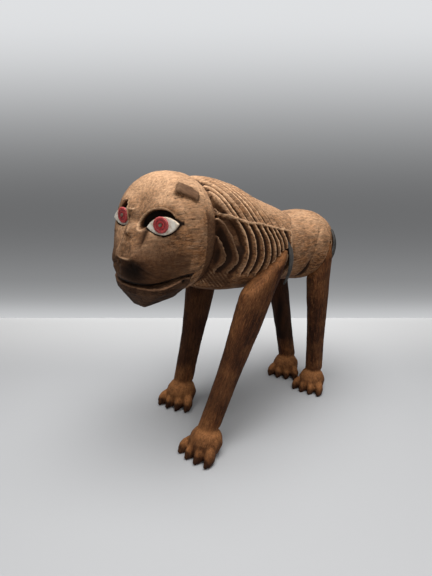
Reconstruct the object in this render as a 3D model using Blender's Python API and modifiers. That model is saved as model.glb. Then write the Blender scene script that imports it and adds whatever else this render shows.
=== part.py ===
"""Articulated wooden lion, a folk carving that stands on four legs pinned under a barrel-shaped body.

The lion faces -Y and its left side is +X. It stands on the floor at Z = 0.
"""

import math

import bmesh
import bpy
from mathutils import Matrix, Vector

# Height of the lion from the floor to the crown of its head. The carved form keeps its pose and proportions as
# shares of this height, counted so that a share reads as a millimetre at the real size.
HEIGHT = 0.2856
SHARES_HIGH = 285.6
SHARE = HEIGHT / SHARES_HIGH

# Where the origin lies among the shares: on the floor, under the middle of the lion's outline
ORIGIN_AT = (-0.74, -10.86)

# Curved skin is shaded smooth up to this bend between two faces
SHARP_BEND = math.radians(38)

# Fits
TOUCH_GAP = 0.0004
POCKET_CLEARANCE = 0.0008
PLATE_CLEARANCE = 0.0009

# Eyes
EYE_WHITE_THICKNESS = 0.0030
EYE_WHITE_SEAT = 0.0018
EYE_DISC_DIAMETER = 0.0150
EYE_DISC_THICKNESS = 0.0024
EYE_DISC_BEVEL = 0.0007
EYE_PIN_DIAMETER = 0.0028
EYE_PIN_HEAD = 0.0008

# Trunk stations along the back, in shares: place, half width, top, bottom. The mane lies over the barrel like a
# coat.
SECTION_POWER = 2.25
MANE_STATIONS = (
    (-92, 24, 262, 190),
    (-84, 36, 278, 176),
    (-66, 46, 281, 165),
    (-36, 56, 275, 160),
    (-8, 61, 262, 159),
    (20, 59, 252, 159),
    (64, 52, 240, 159),
)
BARREL_STATIONS = (
    (0, 55, 240, 160),
    (30, 53, 238, 160),
    (60, 49, 236, 157),
    (82, 47, 239, 154),
    (98, 47, 240, 154),
    (112, 44, 238, 155),
    (123, 38, 232, 163),
    (130, 28, 221, 177),
    (134, 14, 209, 189),
)

# The mane begins at the neck, further forward on the back than on the flank, and ends in a step that leans the
# other way, so that its locks fan out over the shoulder
NECK_END = -92
MANE_START_ON_BACK = -84
MANE_START_ON_FLANK = -68
MANE_END_ON_BACK = 64
MANE_END_ON_FLANK = 20
MANE_STEP = 0.6
TRUNK_END = 134
FLANK_ANGLE = math.radians(20)

# Below its ridge line the mane is a broad leaf-shaped lock behind the cheek and then narrow ribs
RIDGE_ANGLE = math.radians(24)
RIB_LOW_ANGLE = math.radians(-32)
LEAF_WIDTH = 15
RIB_COUNT = 9
RIB_SHRINK = 0.96
RIB_DEPTH = 4.0
RIB_CREST = 0.55
LEAF_SWELL = 2.5
RIB_FADE = 0.25

# From its place a little below the middle of the flank each rib sweeps forward, up to the ridge and down to the
# chest; over this much of the flank at the mane's two ends it straightens again
RIB_SWEEP_UP = 12.0
RIB_SWEEP_DOWN = 3.0
RIB_SWEEP_FROM = math.radians(-12)
RIB_SWEEP_POWER = 1.6
RIB_STRAIGHTENS = (15, 22)

# Above it long locks run back from the neck and slant down towards the shoulder
LOCK_COUNT = 4
LOCK_DEPTH = 2.0
LOCK_SLANT = (0.55, 1.5)

# Steps round the trunk on each side: over the locks, over the ribs and under the belly
RIB_STEPS = 6
BELLY_STEPS = 4

# Haunch: a low swelling over each thigh, with a hollow ahead of it
HAUNCH_SWELL = 3.0
HAUNCH_AT = (88, -15)
HAUNCH_SPREAD = (14, 38)
HOLLOW_DEPTH = 4.5
HOLLOW_AT = (69, -42)
HOLLOW_SPREAD = (7, 26)

# Head, turned a little to the lion's left, worked on its own axes (left, forward, up)
HEAD_AT = (0, -105, 226)
HEAD_TURN = math.radians(15)
HEAD_TILT = math.radians(6)
HEAD_HALF_WIDTH = 50
HEAD_HALF_DEPTH = 41
HEAD_HALF_DEPTH_BEHIND = 46
HEAD_RISE = 62
HEAD_DROP = 57
HEAD_POWER = 2.25
HEAD_SIDES = 36
HEAD_ROWS = 22

# Mouth and lower jaw, on the head's axes: the mouth line is level across the front and rises to its corners
MOUTH_LINE = -39.5
MOUTH_RISE = 10.0
MOUTH_RISES = (12, 40)
MOUTH_GAP = 3.0
MOUTH_STEPS = 8
MOUTH_ROOM = (70, 66)
MOUTH_BELOW = -95
MOUTH_ABOVE = 0
MOUTH_BACK = 6
JAW_HALF_WIDTH = 42.5
JAW_FRONT = 47
JAW_SQUARE = 1.0
JAW_STEPS = 12

# How far in and how far down the lip's lower edge is, and the points of the chin and of the throat
JAW_LIP = (1.5, 7.0)
JAW_KEEL = ((7, 31, -67), (5, 21, -68))
JAW_THROAT = (22, -58)
JAW_BACK = MOUTH_BACK + TOUCH_GAP / SHARE

# Where the skin of the head rises or sinks: how much, towards where (left, forward, up) and how widely
HEAD_MIDDLE_LOBES = (
    (-6.5, (0.0, 0.60, 0.80), 0.70),
    (14.0, (0.0, 0.86, -0.56), 0.50),
)
HEAD_PAIRED_LOBES = (
    (4.0, (0.30, 0.80, -0.42), 0.30),
    (4.5, (0.42, 0.78, 0.58), 0.26),
    (-7.0, (0.50, 0.74, 0.34), 0.20),
    (-4.0, (0.22, 0.86, -0.46), 0.12),
)
NOSE_RISE = 5.0
NOSE_WIDTH = 0.17
NOSE_STARTS = (-0.62, -0.35)
NOSE_ENDS = (0.15, 0.45)

# Each leg in shares: where it is pinned, where its ankle is, how thick it is across and fore and aft at the top
# and at the ankle, how much fuller it is behind, and how many degrees its paw turns to the lion's left
LEGS = {
    "front_left": ((53, -11, 198), (46, -87, 28), (25, 42), (21, 23), 5.0, 8),
    "front_right": ((-53, -9, 198), (-55.5, -47, 28), (25, 42), (22, 24), 5.0, 22),
    "rear_left": ((39, 93.5, 195), (30, 110.5, 27), (23, 33), (20, 22), 2.0, 14),
    "rear_right": ((-39, 93.5, 195), (-24, 118, 27), (23, 33), (21, 23), 2.0, 26),
}
LEG_SIDES = 10
LEG_POWER = 2.8
LEG_TIP = -8
LEG_WEDGE = 36
LEG_TIP_DEPTH = 7
LEG_STATIONS = (LEG_TIP, -2, 8, 20, LEG_WEDGE, 60, 85, 110, 135)
POCKET_STATIONS = LEG_STATIONS[:7]
LEG_TAPERS = (0.10, 0.75)
LEG_TIP_NARROWER = 0.38
LEG_TIP_WIDENS = 3.0
CALF_AT = 0.5
CALF_SPREAD = 0.3

# Paws, in shares, for a leg that is this thick at the ankle
PAW_MADE_FOR = 21.0
PAW_DIP = math.radians(26)
PALM_AT = (0, -5, 13.5)
PALM_SIZE = (37, 38, 33)
TOE_COUNT = 4
TOE_FAN = math.radians(15)
TOE_PITCH = 10.6
TOE_REACH = 19.0
TOE_OUTER_SHORTER = 2.2
TOE_HEIGHT = 7.5
TOE_SIZE = (12, 24, 17)
CLAW_PITCH = 12.0
CLAW_AHEAD = 9.0
CLAW_HEIGHT = 3.0
CLAW_SIZE = (5.5, 7.5, 7.5)

# Tail: thickness, where it starts and ends round the rump, and the arc it follows
TAIL_RADIUS = (5.0, 3.4)
TAIL_SWEEP = (math.radians(62), math.radians(-42))
TAIL_MIDDLE = (103, 197)
TAIL_REACH = (31.5, 38.5)
TAIL_ROWS = 7
TAIL_SIDES = 6

# Which way each ear lies from the middle of the head; the right one lies further back
EAR_TOWARDS = {1: (0.55, 0.14, 0.73), -1: (-0.58, -0.22, 0.66)}
EAR_SLOPE = (0.45, -0.62, -0.55)
EAR_SIZE = (15, 22, 6)
EAR_SUNK = 1.2
EAR_NARROWS = 0.70
EAR_THINS = 0.75
EAR_BEVEL = 0.0016

# Where each white is inlaid, in shares of the head's frame; the right one sits a little nearer the nose
EYE_AT = {1: (26.5, 32.0, 15.5), -1: (-21.5, 32.0, 16.5)}
EYE_OUTWARD = {1: math.radians(15), -1: math.radians(8)}
EYE_ROLL = math.radians(12)
EYE_HALF_LENGTH = 16.0
EYE_ABOVE = 7.8
EYE_BELOW = 8.5
EYE_ROUND = 8
EYE_SEAT_FLARE = 0.002
EYE_SEAT_REACH = 0.016
EYE_HOLLOW_AT = (3.0, -4.5, 4.5)
EYE_HOLLOW_SIZE = (33, 17, 21)
EYE_LIFT = EYE_WHITE_THICKNESS - EYE_WHITE_SEAT
PIN_DEPTH = 0.006
PIN_DRILL_REACH = 0.020
DISC_RISE = 1.0
DISC_INWARD = {1: 0.5, -1: 2.0}
DISC_SIDES = 14
PIN_SIDES = 10

# Each plate in shares: its middle, half its height, its greatest width and how much its ends curve inwards
PLATES = {
    "front_left": ((59, 18.5, 193), 28, 10, 8),
    "front_right": ((-59, 20.5, 193), 28, 10, 8),
    "rear_left": ((46, 115.7, 197), 21, 7.5, 6),
    "rear_right": ((-46, 115.7, 197), 21, 7.5, 6),
}
PLATE_THICKNESS = 0.0030
PLATE_ROWS = 7
PLATE_TURN = math.radians(20)
PLATE_POINT = 0.12
PLATE_FULLNESS = 0.7

# The section of a plate, in halves of its width and thickness: flat behind, with a low ridge along its outside
PLATE_SECTION = ((-1, -1), (1, -1), (1, 0.2), (0, 1), (-1, 0.2))


def collection(name):
    """A new collection in the scene."""
    made = bpy.data.collections.new(name)
    bpy.context.scene.collection.children.link(made)
    return made


def material(name, colour, roughness, metallic=0.0):
    """A plain surface of one colour."""
    made = bpy.data.materials.new(name)
    made.use_nodes = True
    surface = made.node_tree.nodes["Principled BSDF"]
    surface.inputs["Base Color"].default_value = (*colour, 1.0)
    surface.inputs["Roughness"].default_value = roughness
    surface.inputs["Metallic"].default_value = metallic
    return made


def place(name, mesh, surface=None):
    """An object in its collection; a cutter or a guide where no surface is given."""
    made = bpy.data.objects.new(name, mesh)
    if surface is None:
        guides.objects.link(made)
        made.hide_render = True
        made.display_type = "WIRE"
    else:
        lion.objects.link(made)
        mesh.materials.append(surface)
    return made


def finish_mesh(name, shape):
    """Turn the faces outwards and hand the shape over as a mesh."""
    bmesh.ops.recalc_face_normals(shape, faces=shape.faces)
    mesh = bpy.data.meshes.new(name)
    shape.to_mesh(mesh)
    shape.free()
    mesh.shade_smooth()
    mesh.set_sharp_from_angle(angle=SHARP_BEND)
    return mesh


def combine(body, other, operation):
    """Join another solid to a body, or cut it out of the body."""
    step = body.modifiers.new(operation.title() + " " + other.name, "BOOLEAN")
    step.operation = operation
    step.solver = "EXACT"
    step.object = other
    return step


def loft(name, rings):
    """A closed solid through rings of equally many points, its ends closed with one face each."""
    shape = bmesh.new()
    rows = [[shape.verts.new(point) for point in ring] for ring in rings]
    for low, high in zip(rows, rows[1:]):
        for i in range(len(low)):
            j = (i + 1) % len(low)
            shape.faces.new((low[i], low[j], high[j], high[i]))
    shape.faces.new(rows[0])
    shape.faces.new(rows[-1])
    return finish_mesh(name, shape)


def eased(x, low, high):
    """0 below low, 1 above high, smooth between."""
    t = min(max((x - low) / (high - low), 0.0), 1.0)
    return t * t * (3.0 - 2.0 * t)


def hill(x, centre, width):
    """A smooth bump of height 1."""
    return math.exp(-(((x - centre) / width) ** 2))


def patch(x, turn, middle, spread):
    """A smooth round bump over two measures."""
    return hill(x, middle[0], spread[0]) * hill(turn, middle[1], spread[1])


def between(stations, x):
    """Read every column of a station table at x, smoothly, without overshooting."""
    last = len(stations) - 1
    k = 0
    while k < last - 1 and x > stations[k + 1][0]:
        k += 1

    def slope(i, column):
        if i == 0 or i == last:
            return 0.0
        before, here, after = stations[i - 1], stations[i], stations[i + 1]
        left = (here[column] - before[column]) / (here[0] - before[0])
        right = (after[column] - here[column]) / (after[0] - here[0])
        if left * right <= 0.0:
            return 0.0
        return 2.0 * left * right / (left + right)

    a, b = stations[k], stations[k + 1]
    span = b[0] - a[0]
    t = min(max((x - a[0]) / span, 0.0), 1.0)
    values = []
    for column in range(1, len(a)):
        rise = (2 * t**3 - 3 * t**2 + 1) * a[column] + (3 * t**2 - 2 * t**3) * b[column]
        bend = (t**3 - 2 * t**2 + t) * slope(k, column) + (t**3 - t**2) * slope(k + 1, column)
        values.append(rise + span * bend)
    return values


def rounded(angle, half_width, half_height, power=SECTION_POWER):
    """A point on a section that is fuller than an ellipse."""
    c, s = math.cos(angle), math.sin(angle)
    x = half_width * math.copysign(abs(c) ** (2.0 / power), c)
    z = half_height * math.copysign(abs(s) ** (2.0 / power), s)
    return x, z


# Start from an empty scene
for old in list(bpy.data.objects):
    bpy.data.objects.remove(old, do_unlink=True)

lion = collection("Articulated wooden lion")
guides = collection("Cutters")

wood = material("carved wood", (0.235, 0.135, 0.075), 0.72)
dark_wood = material("dark wood", (0.110, 0.060, 0.035), 0.70)
grey_plate = material("dark grey plate", (0.105, 0.098, 0.090), 0.55)
eye_white = material("eye white", (0.80, 0.76, 0.68), 0.35)
eye_red = material("eye red", (0.42, 0.055, 0.060), 0.50)
pin_metal = material("pin metal", (0.16, 0.13, 0.11), 0.45, 0.6)


# Trunk and mane

def rib_edges():
    """Where the leaf and the ribs begin on the flank, each rib a little narrower than the one before."""
    edges = [MANE_START_ON_FLANK, MANE_START_ON_FLANK + LEAF_WIDTH]
    first = (MANE_END_ON_FLANK - edges[1]) * (1.0 - RIB_SHRINK) / (1.0 - RIB_SHRINK**RIB_COUNT)
    for k in range(RIB_COUNT):
        edges.append(edges[-1] + first * RIB_SHRINK**k)
    return edges


RIB_EDGES = rib_edges()


def rib_height(y):
    """How far a rib stands out at a place along the flank: 0 in the grooves, 1 on the crests."""
    if y <= RIB_EDGES[0] or y >= RIB_EDGES[-1]:
        return 0.0
    k = max(i for i, edge in enumerate(RIB_EDGES) if edge <= y)
    t = (y - RIB_EDGES[k]) / (RIB_EDGES[k + 1] - RIB_EDGES[k])
    return math.sin(math.pi * t ** 1.15)


def flank_share(angle):
    """0 on the back, 1 on the flank and below it."""
    from_top = abs(0.5 * math.pi - angle) if angle > 0 else 0.5 * math.pi
    return min(from_top / (0.5 * math.pi - FLANK_ANGLE), 1.0)


def along(y, share):
    """Slide a flank station to where it lies on the back, so that the mane fans out."""
    if y <= MANE_START_ON_FLANK:
        start = MANE_START_ON_BACK + (MANE_START_ON_FLANK - MANE_START_ON_BACK) * share
        return NECK_END + (y - NECK_END) * (start - NECK_END) / (MANE_START_ON_FLANK - NECK_END)
    if y <= MANE_END_ON_FLANK:
        t = (y - MANE_START_ON_FLANK) / (MANE_END_ON_FLANK - MANE_START_ON_FLANK)
        on_back = MANE_START_ON_BACK + (MANE_END_ON_BACK - MANE_START_ON_BACK) * t
        return on_back + (y - on_back) * share
    t = (TRUNK_END - y) / (TRUNK_END - MANE_END_ON_FLANK)
    on_back = TRUNK_END - (TRUNK_END - MANE_END_ON_BACK) * t
    return on_back + (y - on_back) * share


def trunk_angles(y):
    """Angles of a half section from the top down, each with its share of the groove between two locks."""
    t = eased(y, MANE_START_ON_FLANK, MANE_END_ON_FLANK)
    slant = LOCK_SLANT[0] + (LOCK_SLANT[1] - LOCK_SLANT[0]) * t
    lock_steps = 2 * LOCK_COUNT
    half = []
    for k in range(lock_steps):
        share = (1.0 - k / lock_steps) ** slant
        half.append((RIDGE_ANGLE + (0.5 * math.pi - RIDGE_ANGLE) * share, 1.0 if k % 2 else 0.0))
    for k in range(RIB_STEPS):
        half.append((RIDGE_ANGLE + (RIB_LOW_ANGLE - RIDGE_ANGLE) * k / RIB_STEPS, 0.0))
    for k in range(BELLY_STEPS + 1):
        half.append((RIB_LOW_ANGLE + (-0.5 * math.pi - RIB_LOW_ANGLE) * k / BELLY_STEPS, 0.0))
    return half


def swept(y, angle):
    """How far forward of its place on the flank a rib lies at an angle round the trunk."""
    above = angle > RIB_SWEEP_FROM
    end, sweep = (RIDGE_ANGLE, RIB_SWEEP_UP) if above else (RIB_LOW_ANGLE, RIB_SWEEP_DOWN)
    t = min((angle - RIB_SWEEP_FROM) / (end - RIB_SWEEP_FROM), 1.0)
    after_start = (y - MANE_START_ON_FLANK) / RIB_STRAIGHTENS[0]
    before_end = (MANE_END_ON_FLANK - y) / RIB_STRAIGHTENS[1]
    return sweep * t**RIB_SWEEP_POWER * max(min(after_start, before_end, 1.0), 0.0)


def trunk_point(y, angle, groove, side):
    """A point of the trunk's skin on one side."""
    here = along(y, flank_share(angle)) - swept(y, angle)
    in_mane = y < MANE_END_ON_FLANK
    half_width, top, bottom = between(MANE_STATIONS if in_mane else BARREL_STATIONS, here)
    x, z = rounded(angle, half_width, 0.5 * (top - bottom))
    z += 0.5 * (top + bottom)
    sunk = 0.0
    if in_mane:
        ribs = eased(angle, RIB_LOW_ANGLE - RIB_FADE, RIB_LOW_ANGLE + RIB_FADE)
        ribs *= 1.0 - eased(angle, RIDGE_ANGLE, RIDGE_ANGLE + RIB_FADE)
        sunk += RIB_DEPTH * ribs * (1.0 - rib_height(y))
        sunk += LOCK_DEPTH * groove
        if RIB_EDGES[0] < y < RIB_EDGES[1]:
            sunk -= LEAF_SWELL * ribs * rib_height(y)
    else:
        turn = math.degrees(angle)
        sunk -= HAUNCH_SWELL * patch(here, turn, HAUNCH_AT, HAUNCH_SPREAD)
        sunk += HOLLOW_DEPTH * patch(here, turn, HOLLOW_AT, HOLLOW_SPREAD)
    x -= sunk * math.cos(angle)
    z -= sunk * math.sin(angle)
    return Vector((side * x, here, z)) * SHARE


def trunk_rings():
    """Stations of the loft: a groove and a crest for each rib, then the smooth barrel."""
    places = [NECK_END, NECK_END + 8]
    for a, b in zip(RIB_EDGES, RIB_EDGES[1:]):
        places += [a, a + RIB_CREST * (b - a)]
    places.insert(4, 0.5 * (places[2] + places[3]))
    places.sort()
    places += [MANE_END_ON_FLANK - MANE_STEP, MANE_END_ON_FLANK + MANE_STEP]
    places += [35, 48, 59, 67, 75, 85, 97, 108, 117, 124, 129, TRUNK_END]
    rings = []
    for y in places:
        half = trunk_angles(y)
        left = [trunk_point(y, angle, groove, 1.0) for angle, groove in half]
        right = [trunk_point(y, angle, groove, -1.0) for angle, groove in half[1:-1]]
        rings.append(left + right[::-1])
    return rings


body = place("carved_body", loft("carved_body", trunk_rings()), wood)

# Head: a rounded block turned a little to the lion's left, worked on its own axes (left, forward, up)


head_frame = (
    Matrix.Translation(Vector(HEAD_AT) * SHARE)
    @ Matrix.Rotation(HEAD_TURN, 4, "Z")
    @ Matrix.Rotation(HEAD_TILT, 4, "Y")
)


def on_head(left, forward, up):
    """A point of the head's own frame, in shares, as a place in the lion's frame."""
    return head_frame @ (Vector((left, -forward, up)) * SHARE)


def lobe(direction, towards, width):
    """A smooth bump around a direction."""
    spread = (direction - Vector(towards).normalized()).length / width
    return math.exp(-spread * spread)


def head_radius(d):
    """How far the head's skin lies from its middle in a direction (left, forward, up)."""
    rise = HEAD_RISE if d.z > 0 else HEAD_DROP
    sums = (abs(d.x) / HEAD_HALF_WIDTH) ** HEAD_POWER
    sums += (abs(d.y) / (HEAD_HALF_DEPTH if d.y > 0 else HEAD_HALF_DEPTH_BEHIND)) ** HEAD_POWER
    sums += (abs(d.z) / rise) ** HEAD_POWER
    radius = sums ** (-1.0 / HEAD_POWER)
    for amount, towards, width in HEAD_MIDDLE_LOBES:
        radius += amount * lobe(d, towards, width)
    side = Vector((abs(d.x), d.y, d.z))
    for amount, towards, width in HEAD_PAIRED_LOBES:
        radius += amount * lobe(side, towards, width)
    if d.y > 0:
        below = eased(d.z, *NOSE_STARTS)
        above = 1.0 - eased(d.z, *NOSE_ENDS)
        radius += NOSE_RISE * hill(d.x, 0.0, NOSE_WIDTH) * below * above
    return radius


def head_mesh():
    """A sphere whose points are moved in or out to the carved skin."""
    shape = bmesh.new()
    bmesh.ops.create_uvsphere(shape, u_segments=HEAD_SIDES, v_segments=HEAD_ROWS, radius=1.0)
    for point in shape.verts:
        d = point.co.normalized()
        skin = d * head_radius(Vector((d.x, -d.y, d.z)))
        point.co = head_frame @ (skin * SHARE)
    return finish_mesh("head", shape)


def mouth_height(forward):
    """Height of the upper lip: level across the front, higher towards the corners."""
    return MOUTH_LINE + MOUTH_RISE * (1.0 - eased(forward, *MOUTH_RISES))


def mouth_rings(back, lower, far):
    """Cross-cuts between the mouth line, or a line lower than it, and a far level, from the corners forward."""
    half_width, front = MOUTH_ROOM
    rings = []
    for k in range(MOUTH_STEPS + 1):
        forward = back + (front - back) * k / MOUTH_STEPS
        near = mouth_height(forward) - lower
        corners = ((-half_width, near), (half_width, near), (half_width, far), (-half_width, far))
        rings.append([on_head(left, forward, up) for left, up in corners])
    return rings


head = place("head", head_mesh())
mouth = place("mouth_room", loft("mouth_room", mouth_rings(MOUTH_BACK, 0.0, MOUTH_BELOW)))


def jaw_outline(t, inset=0.0):
    """A point round the lower lip, t from 0 at the right corner to 1 at the left one."""
    turn = math.pi * t
    left = -(JAW_HALF_WIDTH - inset) * math.copysign(abs(math.cos(turn)) ** JAW_SQUARE, math.cos(turn))
    forward = JAW_BACK + (JAW_FRONT - inset - JAW_BACK) * abs(math.sin(turn)) ** JAW_SQUARE
    return left, forward


def jaw_mesh():
    """A faceted wedge: the lower lip's rim, the chin and the keel back to the throat."""
    shape = bmesh.new()
    spots = []
    for k in range(JAW_STEPS + 1):
        for inset, lower in ((0.0, 0.0), JAW_LIP):
            left, forward = jaw_outline(k / JAW_STEPS, inset)
            spots.append((left, forward, mouth_height(forward) - MOUTH_GAP - lower))
    for side in (-1, 1):
        for left, forward, up in JAW_KEEL:
            spots.append((side * left, forward, up))
        spots.append((side * JAW_THROAT[0], JAW_BACK, JAW_THROAT[1]))
    for spot in spots:
        shape.verts.new(on_head(*spot))
    bmesh.ops.convex_hull(shape, input=shape.verts)
    for loose in [point for point in shape.verts if not point.link_faces]:
        shape.verts.remove(loose)
    return finish_mesh("lower_jaw", shape)


jaw = place("lower_jaw", jaw_mesh(), dark_wood)
lips = place("between_the_lips", loft("between_the_lips", mouth_rings(0.0, MOUTH_GAP, MOUTH_ABOVE)))
combine(jaw, lips, "DIFFERENCE")


# Legs: tapered rods with a carved paw, seated in pockets under the mane and at the haunch


def leg_rings(top, ankle, thick_top, thick_ankle, calf, grow=0.0, stations=LEG_STATIONS, to_ankle=True):
    """Sections square to the floor, from a tip that is wedged towards its rear edge down to the ankle."""
    top, ankle = Vector(top), Vector(ankle)
    down = (ankle - top).normalized()
    length = (ankle - top).length
    rings = []
    for station in list(stations) + ([length] if to_ankle else []):
        share = eased(station / length, *LEG_TAPERS)
        across = thick_top[0] + (thick_ankle[0] - thick_top[0]) * share
        full = thick_top[1] + (thick_ankle[1] - thick_top[1]) * share
        wedge = min(max((station - LEG_TIP) / (LEG_WEDGE - LEG_TIP), 0.0), 1.0)
        fore = min(full, LEG_TIP_DEPTH + (thick_top[1] - LEG_TIP_DEPTH) * wedge)
        across *= 1.0 - LEG_TIP_NARROWER * (1.0 - min(wedge * LEG_TIP_WIDENS, 1.0))
        fuller = calf * hill(station / length, CALF_AT, CALF_SPREAD)
        middle = top + down * station + Vector((0.0, 0.5 * (full - fore + fuller), 0.0))
        fore += fuller
        ring = []
        for i in range(LEG_SIDES):
            angle = 2.0 * math.pi * (i + 0.5) / LEG_SIDES
            x, y = rounded(angle, 0.5 * across, 0.5 * fore, LEG_POWER)
            side = Vector((x, y, 0.0)).normalized() * grow
            ring.append((middle + Vector((x, y, 0.0))) * SHARE + side)
        rings.append(ring)
    if grow:
        rings[0] = [point - down * grow for point in rings[0]]
    return rings


def ball(name, middle, size, sides, rows, turn=None):
    """An ellipsoid from a sphere, in shares."""
    shape = bmesh.new()
    bmesh.ops.create_uvsphere(shape, u_segments=sides, v_segments=rows, radius=1.0)
    stretch = Matrix.Diagonal((*[0.5 * s * SHARE for s in size], 1.0))
    where = Matrix.Translation(Vector(middle) * SHARE) @ (turn or Matrix.Identity(4)) @ stretch
    bmesh.ops.transform(shape, matrix=where, verts=shape.verts)
    return finish_mesh(name, shape)


def paw_pieces(name, ankle, thick, turn_out):
    """A domed paw, broad toes fanned out ahead of it and their claws, as guides to be joined to the leg."""
    size = thick[0] / PAW_MADE_FOR
    turn = Matrix.Rotation(math.radians(turn_out), 4, "Z")
    middle = Vector((ankle[0], ankle[1], 0))
    dip = Matrix.Rotation(PAW_DIP, 4, "X")

    def piece(word, spot, extent, sides, rows, yaw):
        where = middle + turn @ (Vector(spot) * size)
        return ball(name + word, where, [size * e for e in extent], sides, rows, yaw @ dip)

    pieces = [piece("_palm", PALM_AT, PALM_SIZE, 11, 7, turn)]
    for k in range(TOE_COUNT):
        side = k - 0.5 * (TOE_COUNT - 1)
        fan = Matrix.Rotation(TOE_FAN * side, 4, "Z") @ turn
        reach = TOE_REACH - TOE_OUTER_SHORTER * abs(side)
        pieces.append(piece(f"_toe_{k}", (TOE_PITCH * side, -reach, TOE_HEIGHT), TOE_SIZE, 7, 5, fan))
        claw = (CLAW_PITCH * side, -reach - CLAW_AHEAD, CLAW_HEIGHT)
        pieces.append(piece(f"_claw_{k}", claw, CLAW_SIZE, 5, 3, fan))
    return pieces


floor_cut = bmesh.new()
bmesh.ops.create_cube(floor_cut, size=1.0)
under = Matrix.Diagonal((3.0 * HEIGHT, 3.0 * HEIGHT, HEIGHT, 1.0)) @ Matrix.Translation((0, 0, -0.5))
bmesh.ops.transform(floor_cut, matrix=under, verts=floor_cut.verts)
floor_block = place("under_the_floor", finish_mesh("under_the_floor", floor_cut))

pockets = []
legs = {}
for name, (top, ankle, thick_top, thick_ankle, calf, turn_out) in LEGS.items():
    leg = place(name + "_leg", loft(name + "_leg", leg_rings(top, ankle, thick_top, thick_ankle, calf)), wood)
    for mesh in paw_pieces(name, ankle, thick_ankle, turn_out):
        combine(leg, place(mesh.name, mesh), "UNION")
    combine(leg, floor_block, "DIFFERENCE")
    grown = leg_rings(top, ankle, thick_top, thick_ankle, calf, POCKET_CLEARANCE, POCKET_STATIONS, False)
    pockets.append(place(name + "_pocket", loft(name + "_pocket", grown)))
    legs[name] = leg

# Tail: short and pressed against the rump


def tail_rings():
    """Round sections along an arc that follows the rump."""
    rings = []
    for k in range(TAIL_ROWS + 1):
        t = k / TAIL_ROWS
        sweep = TAIL_SWEEP[0] + (TAIL_SWEEP[1] - TAIL_SWEEP[0]) * t
        radius = TAIL_RADIUS[0] + (TAIL_RADIUS[1] - TAIL_RADIUS[0]) * t
        outward = Vector((0.0, math.cos(sweep), math.sin(sweep)))
        spot = Vector((0.0, TAIL_MIDDLE[0] + TAIL_REACH[0] * outward.y, TAIL_MIDDLE[1]))
        spot.z += TAIL_REACH[1] * outward.z
        ring = []
        for i in range(TAIL_SIDES):
            angle = 2.0 * math.pi * i / TAIL_SIDES
            ring.append((spot + radius * (Vector((math.cos(angle), 0, 0)) + outward * math.sin(angle))) * SHARE)
        rings.append(ring)
    return rings


tail = place("tail", loft("tail", tail_rings()))

combine(body, tail, "UNION")
combine(body, head, "UNION")
combine(body, mouth, "DIFFERENCE")
for pocket in pockets:
    combine(body, pocket, "DIFFERENCE")


# Ears: small slabs laid against the back of the head


def ear_mesh(side):
    """A slab that narrows towards its back end and lies flat on the skin of the head."""
    d = Vector(EAR_TOWARDS[side]).normalized()
    skin = d * (head_radius(d) - EAR_SUNK)
    up = Vector((d.x, -d.y, d.z))
    ahead = Vector((side * EAR_SLOPE[0], -EAR_SLOPE[1], EAR_SLOPE[2]))
    ahead = (ahead - up * ahead.dot(up)).normalized()
    axes = Matrix((ahead.cross(up), ahead, up)).transposed().to_4x4()
    where = head_frame @ Matrix.Translation(Vector((skin.x, -skin.y, skin.z)) * SHARE) @ axes
    shape = bmesh.new()
    bmesh.ops.create_cube(shape, size=1.0)
    for point in shape.verts:
        narrow = EAR_NARROWS if point.co.y > 0 else 1.0
        thin = EAR_THINS if point.co.y > 0 and point.co.z > 0 else 1.0
        point.co = SHARE * Vector((point.co.x * EAR_SIZE[0] * narrow, point.co.y * EAR_SIZE[1],
                                   point.co.z * EAR_SIZE[2] * thin))
    bmesh.ops.transform(shape, matrix=where, verts=shape.verts)
    return finish_mesh("ear", shape)


for side, name in ((1, "left_ear"), (-1, "right_ear")):
    ear = place(name, ear_mesh(side))
    step = ear.modifiers.new("Worn edges", "BEVEL")
    step.width = EAR_BEVEL
    step.segments = 1
    combine(body, ear, "UNION")


# Eyes: an almond-shaped white inlay, a red disc on it and a pin through both


def eye_frame(side):
    """Axes of an eye: X along it to the lion's left, Y into the head, Z up; both eyes lie level, unlike the head."""
    left, forward, up = EYE_AT[side]
    where = Vector((left, -forward, up)) * SHARE
    turn = Matrix.Rotation(side * EYE_OUTWARD[side], 4, "Z") @ Matrix.Rotation(-EYE_ROLL, 4, "Y")
    return head_frame @ Matrix.Translation(where) @ turn


def almond(grow):
    """The outline of the white: two shallow arcs that meet in the corners."""
    spots = []
    for k in range(2 * EYE_ROUND):
        t = -1.0 + 2.0 * (k % EYE_ROUND) / EYE_ROUND
        over = k < EYE_ROUND
        t = t if over else -t
        rise = EYE_ABOVE if over else -EYE_BELOW
        x, z = EYE_HALF_LENGTH * t * SHARE, rise * (1.0 - t * t) ** 0.9 * SHARE
        away = Vector((x, z)).normalized() * grow
        spots.append((x + away.x, z + away.y))
    return spots


def almond_solid(name, frame, back, front, grow=0.0, flare=0.0):
    """A slab of the almond's outline, from back to front along the eye's own axis."""
    rings = []
    for depth, spread in ((back, 0.0), (front, flare)):
        rings.append([frame @ Vector((x, -depth, z)) for x, z in almond(grow + spread)])
    return loft(name, rings)


def round_bar(name, frame, back, front, diameter, sides):
    """A round bar along a frame's outward axis."""
    shape = bmesh.new()
    bmesh.ops.create_cone(shape, cap_ends=True, segments=sides, radius1=0.5 * diameter, radius2=0.5 * diameter,
                          depth=front - back)
    lie = Matrix.Rotation(math.pi / 2, 4, "X")
    where = frame @ Matrix.Translation((0.0, -0.5 * (back + front), 0.0)) @ lie
    bmesh.ops.transform(shape, matrix=where, verts=shape.verts)
    return finish_mesh(name, shape)


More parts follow.
